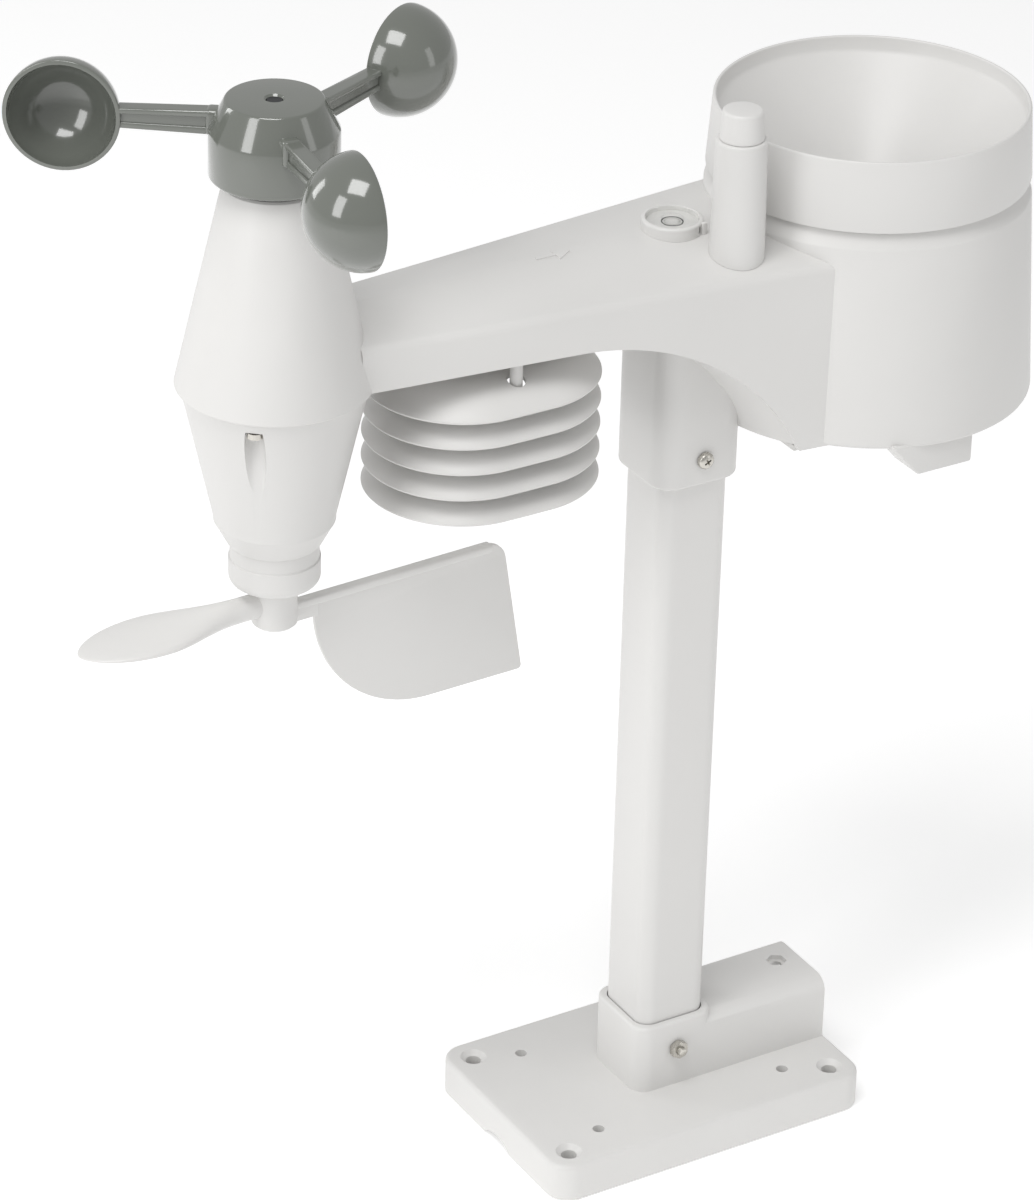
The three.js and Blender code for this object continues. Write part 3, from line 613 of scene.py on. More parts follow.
gauge_profile = [
    (body_radius(gauge_bottom) - 1.5, gauge_bottom),
    *curve(body_radius(gauge_bottom) - 1.5, gauge_bottom + 1.5, 1.5, -60, 0, 3),
    (body_radius(shoulder), shoulder - 0.7), (body_radius(shoulder) - 0.3, shoulder),
    (body_radius(shoulder) - 0.9, shoulder + 0.7), (neck_r + 1.3, shoulder + 4.5),
    (neck_r, shoulder + 4.7), (neck_r, 336),
]
gauge_body = leaning(gauge_profile, 160)
cone_profile = [
    (28.8, cone_low), (29.8, cone_low + 0.8), (15.6, cone_high - 1.9), (15.1, cone_high - 0.6),
    (14.4, cone_high), (4, cone_high),
]
cone = turned(cone_profile, wind_x, sides=128)
arch_x, arch_r = -54, 84
below_arm = block([-260, -80, 200], [arch_x, 80, underside])
below_gauge = block([-260, -80, 200], [200, 80, gauge_bottom])
arch_z = underside - arch_r


def arch_rod(r):
    return rod(r, (arch_x, -80, arch_z), (arch_x, 80, arch_z), sides=160, axis="Y")


cut(arm, below_arm, arch_rod(arch_r), below_gauge)
shell = fuse(arm, gauge_body, cone)
print("shell:", len(shell.data.polygons), "faces")

# %% [markdown]
# Inside, the shell follows its outside at a wall's thickness. The same shapes,
# made smaller, are cut out of it.

# %% Hollow the shell
shell_wall, gauge_wall = 2.2, 2.4
below = 239
room = arm_block(shell_wall, below, shell_wall, start=arm_start + 3)


def gauge_core(wall, top, sides):
    """The inside of the gauge at a distance from its outside, open at the bottom."""
    foot = below + 1
    return leaning([(body_radius(foot) - wall, foot), (body_radius(top) - wall, top)], sides)


gauge_room = gauge_core(gauge_wall, shoulder - shell_wall, 96)
neck_room = rod(neck_r - 2, (gauge_x, 0, 318), (gauge_x, 0, 340), sides=96)
cone_room = turned([(27.6, cone_low - 1), (12.9, 364.3)], wind_x)
shaft_hole = rod(4, (wind_x, 0, 360), (wind_x, 0, 370))
cut(shell, room, gauge_room, neck_room, cone_room, shaft_hole)
keep(shell, "upper_housing", asa_white, angle=28)

# %% [markdown]
# The lower housing closes the arm from below. Its skin starts as one strip of
# plane that is extruded along the arm, spun round the arch and extruded on under
# the gauge. Solidify gives it a wall, and the plan of the arm trims it. It lies
# a millimetre inside the rim of the arm's sides.

# %% Lower housing
lift, skin_wall = 1.0, 1.8
skin_start, strip_width = -112, 120
bpy.ops.object.select_all(action="DESELECT")
strip_x = (skin_start + arch_x) / 2
bpy.ops.mesh.primitive_plane_add(size=1, location=(strip_x * MM, 0, (underside + lift) * MM))
skin = bpy.context.object
skin.scale = ((arch_x - skin_start) * MM, strip_width * MM, 1)
bpy.ops.object.transform_apply()
edit(skin)
pick(skin, "edges", lambda e: all(p.x > arch_x - 0.1 for p in ends(e)))
sweep = math.acos((arch_r - (underside - gauge_bottom)) / (arch_r + lift))
bpy.ops.mesh.spin(steps=40, angle=-sweep, center=(arch_x * MM, 0, arch_z * MM), axis=(0, 1, 0))
bpy.ops.mesh.extrude_region_move(TRANSFORM_OT_translate={"value": (100 * MM, 0, 0)})
leave()
wall_step = skin.modifiers.new("wall", "SOLIDIFY")
wall_step.thickness = skin_wall * MM
wall_step.offset = 1
only(skin)
bpy.ops.object.modifier_apply(modifier="wall")
close_up(skin)
print("skin:", [round(v / MM, 1) for v in skin.dimensions], len(skin.data.polygons))

# %% [markdown]
# Round the gauge the skin flares out like the foot of a bowl, until it meets the
# collar that grips the pole. The flare is turned about the gauge's axis, then
# trimmed to the arm's plan and to the arch.

# %% Trim the skin, add the flare and the collar
play = 0.4
plan = arm_block(shell_wall + play, below, 10, start=skin_start + 1)
fuse(plan, gauge_core(gauge_wall + play, 306, 128))
boolean(skin, plan, "INTERSECT")
flare_profile = [
    (40, gauge_bottom), (53.8, gauge_bottom), (56.8, 262), (61.3, 270), (69, 279.5), (74.8, 285),
    (81.5, 290), (89.9, 295), (89.9, 300), (40, 300),
]
flare = turned(flare_profile, gauge_x, sides=160)
flare_plan = arm_block(shell_wall + play + 0.05, below, 10.3, start=-40)
boolean(flare, flare_plan, "INTERSECT")
boolean(flare, arch_rod(arch_r + lift + skin_wall / 2), "INTERSECT")
fuse(skin, flare)
collar_half, collar_low, collar_top = 15.4, 238.9, 298
collar = rounded_block([-collar_half, -collar_half, collar_low],
                       [collar_half, collar_half, collar_top], 7.4, bottom=1.4, steps=14)
fuse(skin, collar)
socket_room = rounded_block([-bore, -bore, 230], [bore, bore, 292.3], bore_corner)
screw_way = rod(bolt_hole, (0, -20, collar_screw_z), (0, 20, collar_screw_z), axis="Y")
cut(skin, socket_room, screw_way)

# %% [markdown]
# Rain that has been counted drains out of two spouts under the gauge. Each is a
# block with one slanting end, hollow, and open at the bottom.

# %% Drain spouts and battery bay
spout_bottom, spout_half, spout_wall = 245, 10, 1.5
for side in (-1, 1):
    near, far = sorted((side * 38, side * 51))
    spout = block([gauge_x - spout_half, near, spout_bottom],
                  [gauge_x + spout_half, far, gauge_bottom + 1.5])
    edit(spout)
    pick(spout, "edges", lambda e: all(p.x < gauge_x - 9 and p.z > gauge_bottom for p in ends(e)))
    bpy.ops.transform.translate(value=(-spout_half * MM, 0, 0))
    leave()
    soften(spout, 0.8)
    drain_half = spout_half - spout_wall
    drain = block([gauge_x - drain_half, near + spout_wall, spout_bottom - 1],
                  [gauge_x + drain_half, far - spout_wall, gauge_bottom + 5])
    fuse(skin, spout)
    cut(skin, drain)
bay_from, bay_to = low("battery_1")[0] - 0.5, high("battery_3")[0] + 0.5
bay_half, bay_top, bay_wall = 29.5, 272.4, 1.5
bay_walls = block([bay_from - bay_wall, -bay_half - bay_wall, gauge_bottom + 0.6],
                  [bay_to + bay_wall, bay_half + bay_wall, bay_top + bay_wall])
bay_room = block([bay_from, -bay_half, gauge_bottom - 2], [bay_to, bay_half, bay_top])
fuse(skin, bay_walls)
cut(skin, bay_room)
button_x, lamp_y = middle("reset_button")[0], 10
button_hole = rod(2.6, (button_x, 0, 250), (button_x, 0, 262))
lamp_hole = rod(1.8, (button_x, lamp_y, 250), (button_x, lamp_y, 262))
cut(skin, button_hole, lamp_hole)
keep(skin, "lower_housing", asa_white, angle=28)

# %% [markdown]
# ## The rain collector
# A deep ring with a funnel inside. Its rim is thin and rounded, and just inside
# it a short upright lip runs down to the slope of the funnel.

# %% Rain collector
lip_z, throat_z, tip_z = 346, 312, low("rain_collector")[2]
ring_bottom = 328
bottom_r, lip_r = gauge_radius(ring_bottom), gauge_radius(lip_z)
rim = curve(gauge_radius(ring_top) - 0.6, ring_top - 0.6, 0.6, 0, 180, 6)
collector_profile = [
    (bottom_r - 1.6, ring_bottom), (bottom_r - 0.6, ring_bottom),
    (bottom_r - 0.15, ring_bottom + 0.2), (bottom_r, ring_bottom + 0.6),
    *rim, (lip_r - 1.5, lip_z + 0.8), (lip_r - 2.4, lip_z - 0.6),
    (6.4, throat_z + 0.8), (5, throat_z - 0.6), (3.6, tip_z), (5, tip_z), (6.4, throat_z - 1.6),
    (lip_r - 3, lip_z - 3.6), (lip_r - 1.8, lip_z - 5), (bottom_r - 1.6, ring_bottom),
]
collector = turned(collector_profile, gauge_x, sides=160)
keep(collector, "rain_collector", asa_white, angle=40)

# %% [markdown]
# ## Antenna and bubble level
# The antenna is a stub under a tapered sleeve with a smaller cap on top. The
# level is a clear vial in a thin ring, over a bright disc with a printed ring and
# the edge of its bubble.

# %% Antenna
sleeve_x, sleeve_y = middle("antenna_sleeve")[:2]
seam = high("antenna_sleeve")[2]
cap_top = high("antenna_cap")[2]
sleeve_profile = [
    (8.9, 315), (8.6, 319.5), (7.9, seam - 1.2), *curve(7.2, seam - 0.8, 0.8, 20, 90, 3),
    (6.4, seam), (2, seam),
]
sleeve = turned(sleeve_profile, sleeve_x, sleeve_y, sides=64)
cut(sleeve, arm_block(-0.1, 280, -0.1))
keep(sleeve, "antenna_sleeve", asa_white, angle=40)
cap_profile = [
    (2, seam + 0.2), (6.9, seam + 0.2), (6.3, cap_top - 1.2), *curve(5.3, cap_top - 1.0, 1.0, 10, 90, 4),
    (0.4, cap_top),
]
keep(turned(cap_profile, sleeve_x, sleeve_y, sides=64), "antenna_cap", asa_white, angle=40)

# %% Bubble level
level_x, level_y = middle("level_holder")[:2]
level_top = high("level_holder")[2]
holder_low, vial_r = 318, 8.2
holder_profile = [
    (8.3, holder_low), (9.8, holder_low), (9.6, level_top - 0.8),
    *curve(9.0, level_top - 0.7, 0.6, 0, 90, 3),
    (8.5, level_top), (8.3, level_top - 0.3), (8.3, holder_low),
]
holder = turned(holder_profile, level_x, level_y, sides=72)
slot = block([level_x + 4.2, level_y - 12, level_top - 3.4],
             [level_x + 5.2, level_y - 5, level_top - 0.9])
tab = block([level_x + 5.6, level_y - 8.4, 319], [level_x + 7.4, level_y - 6.8, level_top - 0.2])
soften(tab, 0.3)
fuse(holder, tab)
cut(holder, slot, arm_block(-0.05, 280, -0.05))
keep(holder, "level_holder", asa_smooth, angle=40)
dome_profile = [
    (vial_r, level_top - 1.5), (vial_r, level_top - 0.2), (7.7, level_top + 0.1), (5.5, level_top + 0.3),
    (2.5, level_top + 0.4), (0.3, level_top + 0.42),
]
keep(turned(dome_profile, level_x, level_y, sides=72), "level_vial", acrylic, angle=40)
disc_z = level_top - 1.6
disc = turned([(vial_r, disc_z - 2), (vial_r, disc_z)], level_x, level_y, sides=64)
keep(disc, "level_vial", asa_smooth, name="level_disc", replaces=False)
line, print_height = 0.4, 0.1
for name, ring_r, material in (("level_ring_inner", 3.1, ink), ("level_bubble_edge", 2.2, spirit)):
    outer_r, mark_top = ring_r + line, disc_z + print_height
    mark_profile = [(ring_r, disc_z), (outer_r, disc_z), (outer_r, mark_top), (ring_r, mark_top),
                    (ring_r, disc_z)]
    mark = turned(mark_profile, level_x, level_y, sides=64)
    keep(mark, "level_vial", material, name=name, replaces=False)

# %% [markdown]
# A small raised arrow on the arm's crest shows which way to turn the sensor. Its
# outline stands through the arm's top, and only what rises above it is kept.

# %% Arrow on the arm
arrow_x, arrow_low = -45.5, 319
bpy.ops.object.select_all(action="DESELECT")
bpy.ops.mesh.primitive_circle_add(vertices=3, radius=3.4 * MM, fill_type="NGON",
                                  location=(arrow_x * MM, 0, arrow_low * MM),
                                  rotation=(0, 0, -math.pi / 2))
arrow = bpy.context.object
bpy.ops.object.transform_apply()
edit(arrow)
bpy.ops.mesh.select_all(action="SELECT")
bpy.ops.mesh.extrude_region_move(TRANSFORM_OT_translate={"value": (0, 0, 6 * MM)})
leave()
close_up(arrow)
fuse(arrow, block([arrow_x - 8.5, -0.6, arrow_low], [arrow_x - 1, 0.6, 325.1]))
boolean(arrow, arm_block(-0.3, 280, -0.3), "INTERSECT")
keep(arrow, "upper_housing", asa_white, name="arm_arrow", replaces=False)

# %% [markdown]
# ## Wind speed: the cup rotor
# The hub is a short cap, turned. A cup is half a ball: a sphere is cut through
# its middle, the open half is given a wall and its rim is rounded. The bar that
# carries it is a slim web with a flange along its top and another along its
# foot, and a rounded boss joins it to the hub.

# %% Rotor hub
hub_top, hub_bottom = high("rotor_hub")[2], low("rotor_hub")[2]
hub_seam = 384
hub_profile = [
    (16.6, hub_bottom), (18.3, hub_bottom), *curve(18.3, hub_bottom + 1, 1, -60, 0, 3),
    (19.26, hub_seam - 0.5), (19.1, hub_seam + 0.3),
    (14.9, hub_top - 0.9), *curve(13.9, hub_top - 0.8, 0.8, 30, 90, 3),
    (3.1, hub_top), (2.5, hub_top - 0.6), (2.5, hub_top - 2),
    (1.8, hub_top - 2), (1.8, hub_bottom + 1), (5, hub_bottom + 1),
    (5, hub_top - 2.6), (12.9, hub_top - 2.6),
    (16.6, hub_seam - 1), (16.6, hub_bottom),
]
rotor_hub = turned(hub_profile, wind_x, sides=128)
keep(rotor_hub, "rotor_hub", abs_grey, angle=26)

# %% Cups
cup_reach, cup_r, cup_z = 61.9, 17.3, 384.4
cup_wall = 1.3
bar_start, bar_taper = 12, 0.8


def is_cup_rim(edge):
    """An edge in the plane of the mouth that runs round it, not across its wall."""
    a, b = ends(edge)
    return abs(a.y) < 0.01 and abs(b.y) < 0.01 and (a - b).length > cup_wall + 0.05


def make_cup():
    """A cup and its bar along +X from the origin, mouth towards +Y, in place in height."""
    bpy.ops.object.select_all(action="DESELECT")
    bpy.ops.mesh.primitive_uv_sphere_add(segments=64, ring_count=32, radius=cup_r * MM,
                                         location=(cup_reach * MM, 0, cup_z * MM),
                                         rotation=(math.pi / 2, 0, 0))
    cup = bpy.context.object
    bpy.ops.object.transform_apply()
    edit(cup)
    bpy.ops.mesh.select_all(action="SELECT")
    bpy.ops.mesh.bisect(plane_co=(0, 0, 0), plane_no=(0, 1, 0), clear_outer=True)
    leave()
    wall_step = cup.modifiers.new("wall", "SOLIDIFY")
    wall_step.thickness = cup_wall * MM
    wall_step.offset = -1
    only(cup)
    bpy.ops.object.modifier_apply(modifier="wall")
    bevel_edges(cup, is_cup_rim, 0.4, 3)
    bar_end = cup_reach - cup_r + 1.6
    web = block([bar_start, -4.2, cup_z - 3.9], [bar_end, -1.2, cup_z + 2.6])
    flange = block([bar_start, -5.2, cup_z + 1.9], [bar_end, 0, cup_z + 3.9])
    foot = block([bar_start, -4.9, cup_z - 4], [bar_end, -0.6, cup_z - 1.6])
    for bar in (web, flange, foot):
        edit(bar)
        pick(bar, "verts", lambda v: v.co.x > 40 * MM)
        bpy.ops.transform.resize(value=(1, 1, bar_taper), center_override=(0, 0, cup_z * MM))
        leave()
        soften(bar, 0.5, steps=3)
        mid_wall = cup_r - cup_wall / 2
        cut(bar, rod(mid_wall, (cup_reach, -20, cup_z), (cup_reach, 20, cup_z), sides=48, axis="Y"))
    boss = block([bar_start, -5.6, cup_z - 4.2], [20.2, 0.2, cup_z + 4.1])
    soften(boss, 1.4, steps=5)
    return fuse(cup, web, flange, foot, boss)


first_cup = make_cup()
for number, degrees in enumerate((25, 145, 265), start=1):
    cup = first_cup.copy()
    cup.data = first_cup.data.copy()
    bpy.context.collection.objects.link(cup)
    cup.rotation_euler = (0, 0, math.radians(degrees))
    cup.location = (wind_x * MM, 0, 0)
    keep(cup, f"wind_cup_{number}", abs_grey, angle=34)
bpy.data.objects.remove(first_cup)

# %% [markdown]
# ## Wind direction: pod and vane
# The pod closes the cone from below and narrows in two steps to the bearing. Its
# three screws sit in grooves that run up its side.

# %% Pod
pod_low, pod_high = low("wind_pod")[2], high("wind_pod")[2]
pod_r = 28
pod_profile = [
    (pod_r - shell_wall, pod_high), (pod_r, pod_high), (pod_r - 0.05, pod_high - 0.4),
    (18.5, 258.8), *curve(17.6, 257.6, 0.9, 20, -50, 3),
    (14.7, 250.3), (14.3, 249.7), (13.6, 249.2), (13.6, 244.6), (14, 244.2), (14, 238.6),
    *curve(11.2, 238.4, 2.8, 0, -90, 6), (4, pod_low), (4, pod_low + 2.4), (10, pod_low + 4),
    (11.4, 248), (16.2, 259), (pod_r - shell_wall, pod_high),
]
pod = turned(pod_profile, wind_x, sides=128)
groove_reach = 25.4
for angle in (math.radians(degrees) for degrees in (229, 349, 109)):
    gx, gy = wind_x + groove_reach * math.cos(angle), groove_reach * math.sin(angle)
    boss = turned([(5, 262), (5, pod_high - 0.3)], gx, gy, sides=40)
    trim = turned([(11.4, 240), (17.6, 258.6), (27.2, pod_high + 1)], wind_x, sides=96)
    boolean(boss, trim, "INTERSECT")
    fuse(pod, boss)
    cut(pod, rod(3.2, (gx, gy, 250), (gx, gy, 299), sides=40), rod(1.4, (gx, gy, 290), (gx, gy, 305)))
keep(pod, "wind_pod", asa_white, angle=30)

# %% [markdown]
# The vane is a thin fin with a bead along its top, on a small hub, balanced by a
# flat leaf. The fin starts as a thin block whose rear edge is slanted.

# %% Vane
vane_high = high("wind_vane")[2]
vane_turn = math.radians(2.7)
spine_z, leaf_z = 226.3, 228.5
fin_low, fin_front, fin_rear = 179.2, 13.7, 88
hub_low = 220.8
vane_hub_profile = [
    (1.8, 226.2), (1.8, vane_high), (6.6, vane_high), (7, vane_high - 0.4), (7, hub_low + 0.8),
    (6.2, hub_low), (1, hub_low), (1, 226.2), (1.8, 226.2),
]
vane = turned(vane_hub_profile, 0, sides=64)
lug = block([4, -1.6, 219.6], [14.6, 1.6, spine_z])
fin = block([fin_front, -0.8, fin_low], [fin_rear, 0.8, spine_z])
edit(fin)
pick(fin, "verts", lambda v: v.co.x > 80 * MM and v.co.z > 220 * MM)
bpy.ops.transform.translate(value=(-5.6 * MM, 0, 0))
pick(fin, "verts", lambda v: v.co.x > 80 * MM and v.co.z < 200 * MM)
bpy.ops.transform.translate(value=(2.4 * MM, 0, -1 * MM))
leave()

# %% [markdown]
# Its lower front corner is one big round and the two rear corners are small
# ones. They are bevels of the fin's short edges, each with its own radius.

# %% Round the fin


def is_across(edge, x, z):
    return all(abs(p.x - x) < 0.6 and abs(p.z - z) < 0.6 for p in ends(edge))


bevel_edges(fin, lambda e: is_across(e, fin_front, fin_low), 42, 28)
bevel_edges(fin, lambda e: is_across(e, fin_rear - 5.6, spine_z), 6, 8)
bevel_edges(fin, lambda e: is_across(e, fin_rear + 2.4, fin_low - 1), 1.6, 4)
soften(fin, 0.35, steps=2, angle=60)
bead = block([5, -1.9, spine_z - 2.7], [78, 1.9, spine_z + 0.1])
soften(bead, 0.9, steps=3)
soften(lug, 0.4)
fuse(vane, lug, fin, bead)

# %% [markdown]
# The leaf that balances the fin is like a propeller blade: narrow at the hub,
# widest near its end and rounded. A flattened ball is drawn out towards the hub.

# %% Balance leaf
bpy.ops.object.select_all(action="DESELECT")
bpy.ops.mesh.primitive_uv_sphere_add(segments=64, ring_count=32, radius=1,
                                     location=(0, 0, 0), rotation=(0, math.pi / 2, 0))
leaf = bpy.context.object
bpy.ops.object.transform_apply()
leaf_length = 67.5
root_half, widest_half = 3.4, 11.6
swell_from, swell_to, tip_from = 0.17, 0.64, 0.66


def leaf_half_width(along):
    """Half width in mm at a share of the length, from the hub (0) to the tip (1)."""
    share = min(1, max(0, (along - swell_from) / (swell_to - swell_from)))
    swell = share * share * (3 - 2 * share)
    into_tip = max(0, (along - tip_from) / (1 - tip_from))
    return (root_half + (widest_half - root_half) * swell) * max(0, 1 - into_tip ** 2) ** 0.6


def leaf_half_thickness(along):
    return 3.0 * (1 - along) + 1.9 * math.sin(math.pi * min(1, along ** 0.8)) ** 0.5


edit(leaf)
mesh = bmesh.from_edit_mesh(leaf.data)
for v in mesh.verts:
    along = (1 - v.co.x) / 2
    across = math.hypot(v.co.y, v.co.z) or 1
    v.co = Vector((-leaf_length * along,
                   v.co.y / across * leaf_half_width(along),
                   leaf_z + v.co.z / across * leaf_half_thickness(along))) * MM
bmesh.update_edit_mesh(leaf.data)
leave()
close_up(leaf)
fuse(vane, leaf)
vane.rotation_euler = (0, 0, vane_turn)
vane.location = (wind_x * MM, 0, 0)
keep(vane, "wind_vane", asa_smooth, angle=30)

# %% [markdown]
# ## The louvred shield
# A louvre starts as a ring of vertices whose two halves are pulled apart into a
# stadium. The ring is extruded inwards and upwards in steps, which makes the
# flared skirt, and Solidify gives it its wall. One is modelled and copied down.

# %% One louvre
louvre_count = 5
pitch = (low("louvre_1")[2] - low("louvre_5")[2]) / (louvre_count - 1)
louvre_r = high("louvre_1")[1]
half_flat = high("louvre_1")[0] - shield_x - louvre_r
rim_z = low("louvre_1")[2] + 0.8
rise, skirt = 7.6, 15
post_y = 20


def skirt_height(share):
    """Height of the skirt above its rim, at a share of the way in."""
    return rise * math.sin(share * math.pi / 2) ** 0.9


def is_outer_rim(edge):
    return max(p.z for p in ends(edge)) < rim_z + 0.02 and edge.calc_face_angle(0) > 0.6


def make_louvre(closed):
    bpy.ops.object.select_all(action="DESELECT")
    bpy.ops.mesh.primitive_circle_add(vertices=96, radius=louvre_r * MM, location=(0, 0, rim_z * MM))
    louvre = bpy.context.object
    bpy.ops.object.transform_apply()
    edit(louvre)
    shares = [i / 8 for i in range(9)]
    for share, next_share in pairwise(shares):
        climb = skirt_height(next_share) - skirt_height(share)
        bpy.ops.mesh.extrude_region_move(TRANSFORM_OT_translate={"value": (0, 0, climb * MM)})
        grow = (louvre_r - skirt * next_share) / (louvre_r - skirt * share)
        bpy.ops.transform.resize(value=(grow, grow, 1), center_override=(0, 0, 0))
    if closed:
        bpy.ops.mesh.edge_face_add()
    for side in (-1, 1):
        pick(louvre, "verts", lambda v: v.co.x * side > 0.00001)
        bpy.ops.transform.translate(value=(side * half_flat * MM, 0, 0))
    bpy.ops.mesh.select_all(action="SELECT")
    bpy.ops.mesh.normals_make_consistent(inside=False)
    leave()
    wall_step = louvre.modifiers.new("wall", "SOLIDIFY")
    wall_step.thickness = 1.3 * MM
    wall_step.offset = -1
    only(louvre)
    bpy.ops.object.modifier_apply(modifier="wall")
    bevel_edges(louvre, is_outer_rim, 0.4, 3)
    return louvre


for number in range(1, louvre_count + 1):
    louvre = make_louvre(closed=number in (1, louvre_count))
    for side in (-1, 1):
        cut(louvre, rod(2.9, (0, side * post_y, 280), (0, side * post_y, 302)))
    louvre.location = (shield_x * MM, 0, -(number - 1) * pitch * MM)
    keep(louvre, f"louvre_{number}", asa_white, angle=40)

# %% Shield posts
post_r, post_top = 2.0, underside + lift - 0.1
for name, side in (("front", -1), ("rear", 1)):
    node = f"shield_post_{name}"
    spot = (shield_x, side * post_y)
    post_low = low(node)[2]
    stem_profile = [
        (post_r - 0.4, post_low), (post_r, post_low + 0.4), (post_r, post_top - 0.4),
        (post_r - 0.4, post_top),
    ]
    stem = turned(stem_profile, *spot, sides=40)
    peg = rod(1.3, (*spot, post_top - 1), (*spot, high(node)[2]))
    keep(fuse(stem, peg), node, asa_white, angle=40)

# %% [markdown]
# ## Screws and nuts
# The screws have pan heads with a cross recess. The head is turned, and the cross
# is cut with two tapered blocks. Nuts are six-sided rods with their corners
# taken off by a cone, as on real ones.


# %% Make screws and nuts
def pan_screw(node, head_y, facing, tip_y, z):
    """A cross-head screw along Y: head_y is under its head, which faces -Y or +Y."""
    head_profile = [(0.5, 0), (2.75, 0), (2.75, 0.8), (2.5, 1.4), (1.9, 1.85), (1, 2.0), (0.3, 2.02)]
    head = turned(head_profile, 0, sides=48)
    for angle in (0, math.pi / 2):
        slot = block([-1.7, -0.36, 0.9], [1.7, 0.36, 3])
        edit(slot)
        pick(slot, "verts", lambda v: v.co.z < 1 * MM)
        bpy.ops.transform.resize(value=(0.45, 0.7, 1), center_override=(0, 0, 0))
        leave()
        slot.rotation_euler = (0, 0, angle + 0.5)
        only(slot)
        bpy.ops.object.transform_apply()
        cut(head, slot)
    head.rotation_euler = (-facing * math.pi / 2, 0, 0)
    head.location = (0, head_y * MM, z * MM)
    only(head)
    bpy.ops.object.transform_apply()
    shank = rod(1.5, (0, min(head_y, tip_y), z), (0, max(head_y, tip_y), z), axis="Y")
    soften(shank, 0.3)
    keep(fuse(head, shank), node, nickel_steel, angle=35)


def hex_nut(node, z):
    y0, y1 = low(node)[1], high(node)[1]
    nut = rod(3.2, (0, y0, z), (0, y1, z), sides=6, axis="Y")
    thick = y1 - y0
    cone_profile = [(2.7, -0.1), (3.4, 0.35), (3.4, thick - 0.35), (2.7, thick + 0.1)]
    cone_tool = turned(cone_profile, 0, sides=64)
    cone_tool.rotation_euler = (-math.pi / 2, 0, 0)
    cone_tool.location = (0, y0 * MM, z * MM)
    only(cone_tool)
    bpy.ops.object.transform_apply()
    boolean(nut, cone_tool, "INTERSECT")
    cut(nut, rod(1.65, (0, y0 - 1, z), (0, y1 + 1, z), axis="Y"))
    keep(nut, node, nickel_steel, angle=30)


pan_screw("collar_screw", -collar_half - 0.3, -1, high("collar_screw")[1], collar_screw_z)
pan_screw("base_bolt", socket_half + 0.3, 1, low("base_bolt")[1], bolt_z)
hex_nut("base_nut", bolt_z)
hex_nut("collar_nut", collar_screw_z)

# %% [markdown]
# ## Inner pieces
# The battery door, the tipping bucket and its cradle keep their CAD shapes, in a
# copy of the mesh whose edges are rounded. The door's front edge is trimmed to
# where the arch starts. The boards, cells and magnets keep their CAD meshes and
# get real finishes.


# %% Finish the CAD pieces that stay
def rounded_copy(node, material, width, trims=()):
    piece = frame["nodes"][node].copy()
    piece.data = frame["nodes"][node].data.copy()
    piece.parent = None
    piece.matrix_world = Matrix.Identity(4)
    bpy.context.collection.objects.link(piece)
    piece.hide_render = False
    edit(piece)
    bpy.ops.mesh.select_all(action="SELECT")
    bpy.ops.mesh.remove_doubles(threshold=0.00001)
    bpy.ops.mesh.dissolve_limited(angle_limit=math.radians(2))
    leave()
    cut(piece, *trims)
    soften(piece, width, steps=2, angle=40)
    keep(piece, node, material)


door_front = 22.4
door_trim = block([0, -40, 250], [door_front, 40, 258])
rounded_copy("battery_door", asa_white, 0.3, [door_trim])
rounded_copy("tipping_bucket", abs_black, 0.25)
rounded_copy("bucket_cradle", asa_white, 0.25)
finishes = {
    "steel": nickel_steel, "brass": bare_brass, "board": epoxy_board, "cell": cell_wrap, "lamp": lamp_red,
    "black": abs_black, "clear": acrylic, "shell": asa_white, "rotor": abs_grey,
}
for node, piece in frame["nodes"].items():
    piece.data.materials.clear()
    piece.data.materials.append(finishes[slot_of_node[node]])

# %% [markdown]
# ## Floor, light and camera
# The floor is a plain white sheet that glows a little, as a lit table does. Light
# comes from large soft boxes, as in a small studio: a big one overhead and to the
# front left, a tall one at the left, a weak one at the front right and one behind.
# A pale world all round keeps every shadow light.

# %% Floor
bpy.ops.object.select_all(action="DESELECT")
bpy.ops.mesh.primitive_plane_add(size=12, location=(0, 0, -0.0005))
floor = bpy.context.object
floor.name = "floor"
paper, tree, place = new_material("white_paper_floor")
surface = add_node(tree, "ShaderNodeBsdfPrincipled",
                   {"Base Color": linear("#FFFFFF"), "Roughness": 0.9,
                    "Emission Color": linear("#FFFFFF"), "Emission Strength": 0.22})
finish_material(paper, tree, surface)
floor.data.materials.append(paper)

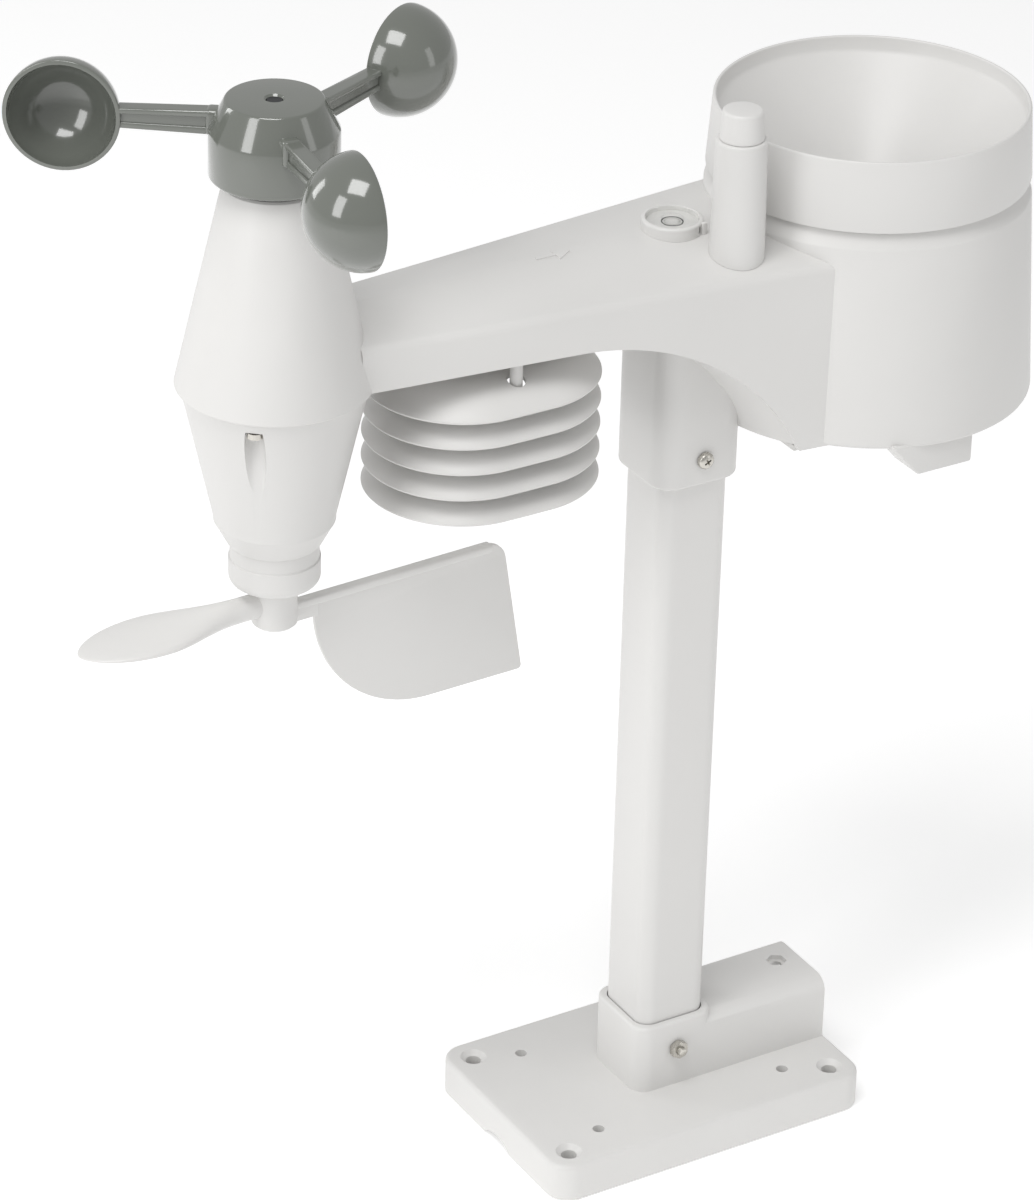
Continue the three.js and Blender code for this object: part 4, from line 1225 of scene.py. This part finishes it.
# %% Lights
bpy.context.scene.view_settings.view_transform = "Standard"
world = bpy.context.scene.world or bpy.data.worlds.new("studio")
bpy.context.scene.world = world
world.use_nodes = True
background = world.node_tree.nodes["Background"]
background.inputs["Color"].default_value = linear("#FFFFFF")
background.inputs["Strength"].default_value = 0.5


def soft_box(name, place, aim, size, watts):
    light = bpy.data.lights.new(name, "AREA")
    light.shape = "RECTANGLE"
    light.size, light.size_y = size
    light.energy = watts
    lamp = bpy.data.objects.new(name, light)
    lamp.location = place
    lamp.rotation_euler = (Vector(aim) - Vector(place)).to_track_quat("-Z", "Y").to_euler()
    bpy.context.collection.objects.link(lamp)
    return lamp


aim = (-0.04, 0, 0.25)
soft_box("overhead_box", (-0.55, -0.4, 1.7), aim, (0.8, 0.7), 11)
soft_box("left_box", (-1.4, -0.3, 0.95), aim, (0.45, 0.9), 6)
soft_box("right_box", (0.85, -1.2, 0.75), aim, (0.35, 0.9), 1.3)
soft_box("rear_box", (-1.05, 1.25, 0.85), aim, (0.4, 0.7), 3.5)

# %% [markdown]
# The camera looks down on the sensor from its front left. Its place follows from
# a bearing, a height angle and a distance to a point on the object.

# %% Camera
bearing, elevation, roll = (math.radians(a) for a in (-31.38, 29.268, 1.502))
target = Vector((-57.48, 0, 205.64)) * MM
distance = 1604.2 * MM
focal_share = 4.28325  # focal length as a share of the view's height
back = Vector((math.sin(bearing) * math.cos(elevation),
               -math.cos(bearing) * math.cos(elevation),
               math.sin(elevation)))
right = Vector((math.cos(bearing), math.sin(bearing), 0))
up = back.cross(right)
turned_right = right * math.cos(roll) + up * math.sin(roll)
turned_up = up * math.cos(roll) - right * math.sin(roll)
camera_data = bpy.data.cameras.new("camera")
camera_data.sensor_fit = "VERTICAL"
sensor_mm = 24
camera_data.sensor_height = sensor_mm
camera_data.lens = sensor_mm * focal_share
camera_data.clip_start = 0.05
camera = bpy.data.objects.new("camera", camera_data)
place = target + back * distance
camera.matrix_world = Matrix((
    (turned_right.x, turned_up.x, back.x, place.x),
    (turned_right.y, turned_up.y, back.y, place.y),
    (turned_right.z, turned_up.z, back.z, place.z),
    (0, 0, 0, 1),
))
bpy.context.collection.objects.link(camera)
bpy.context.scene.camera = camera
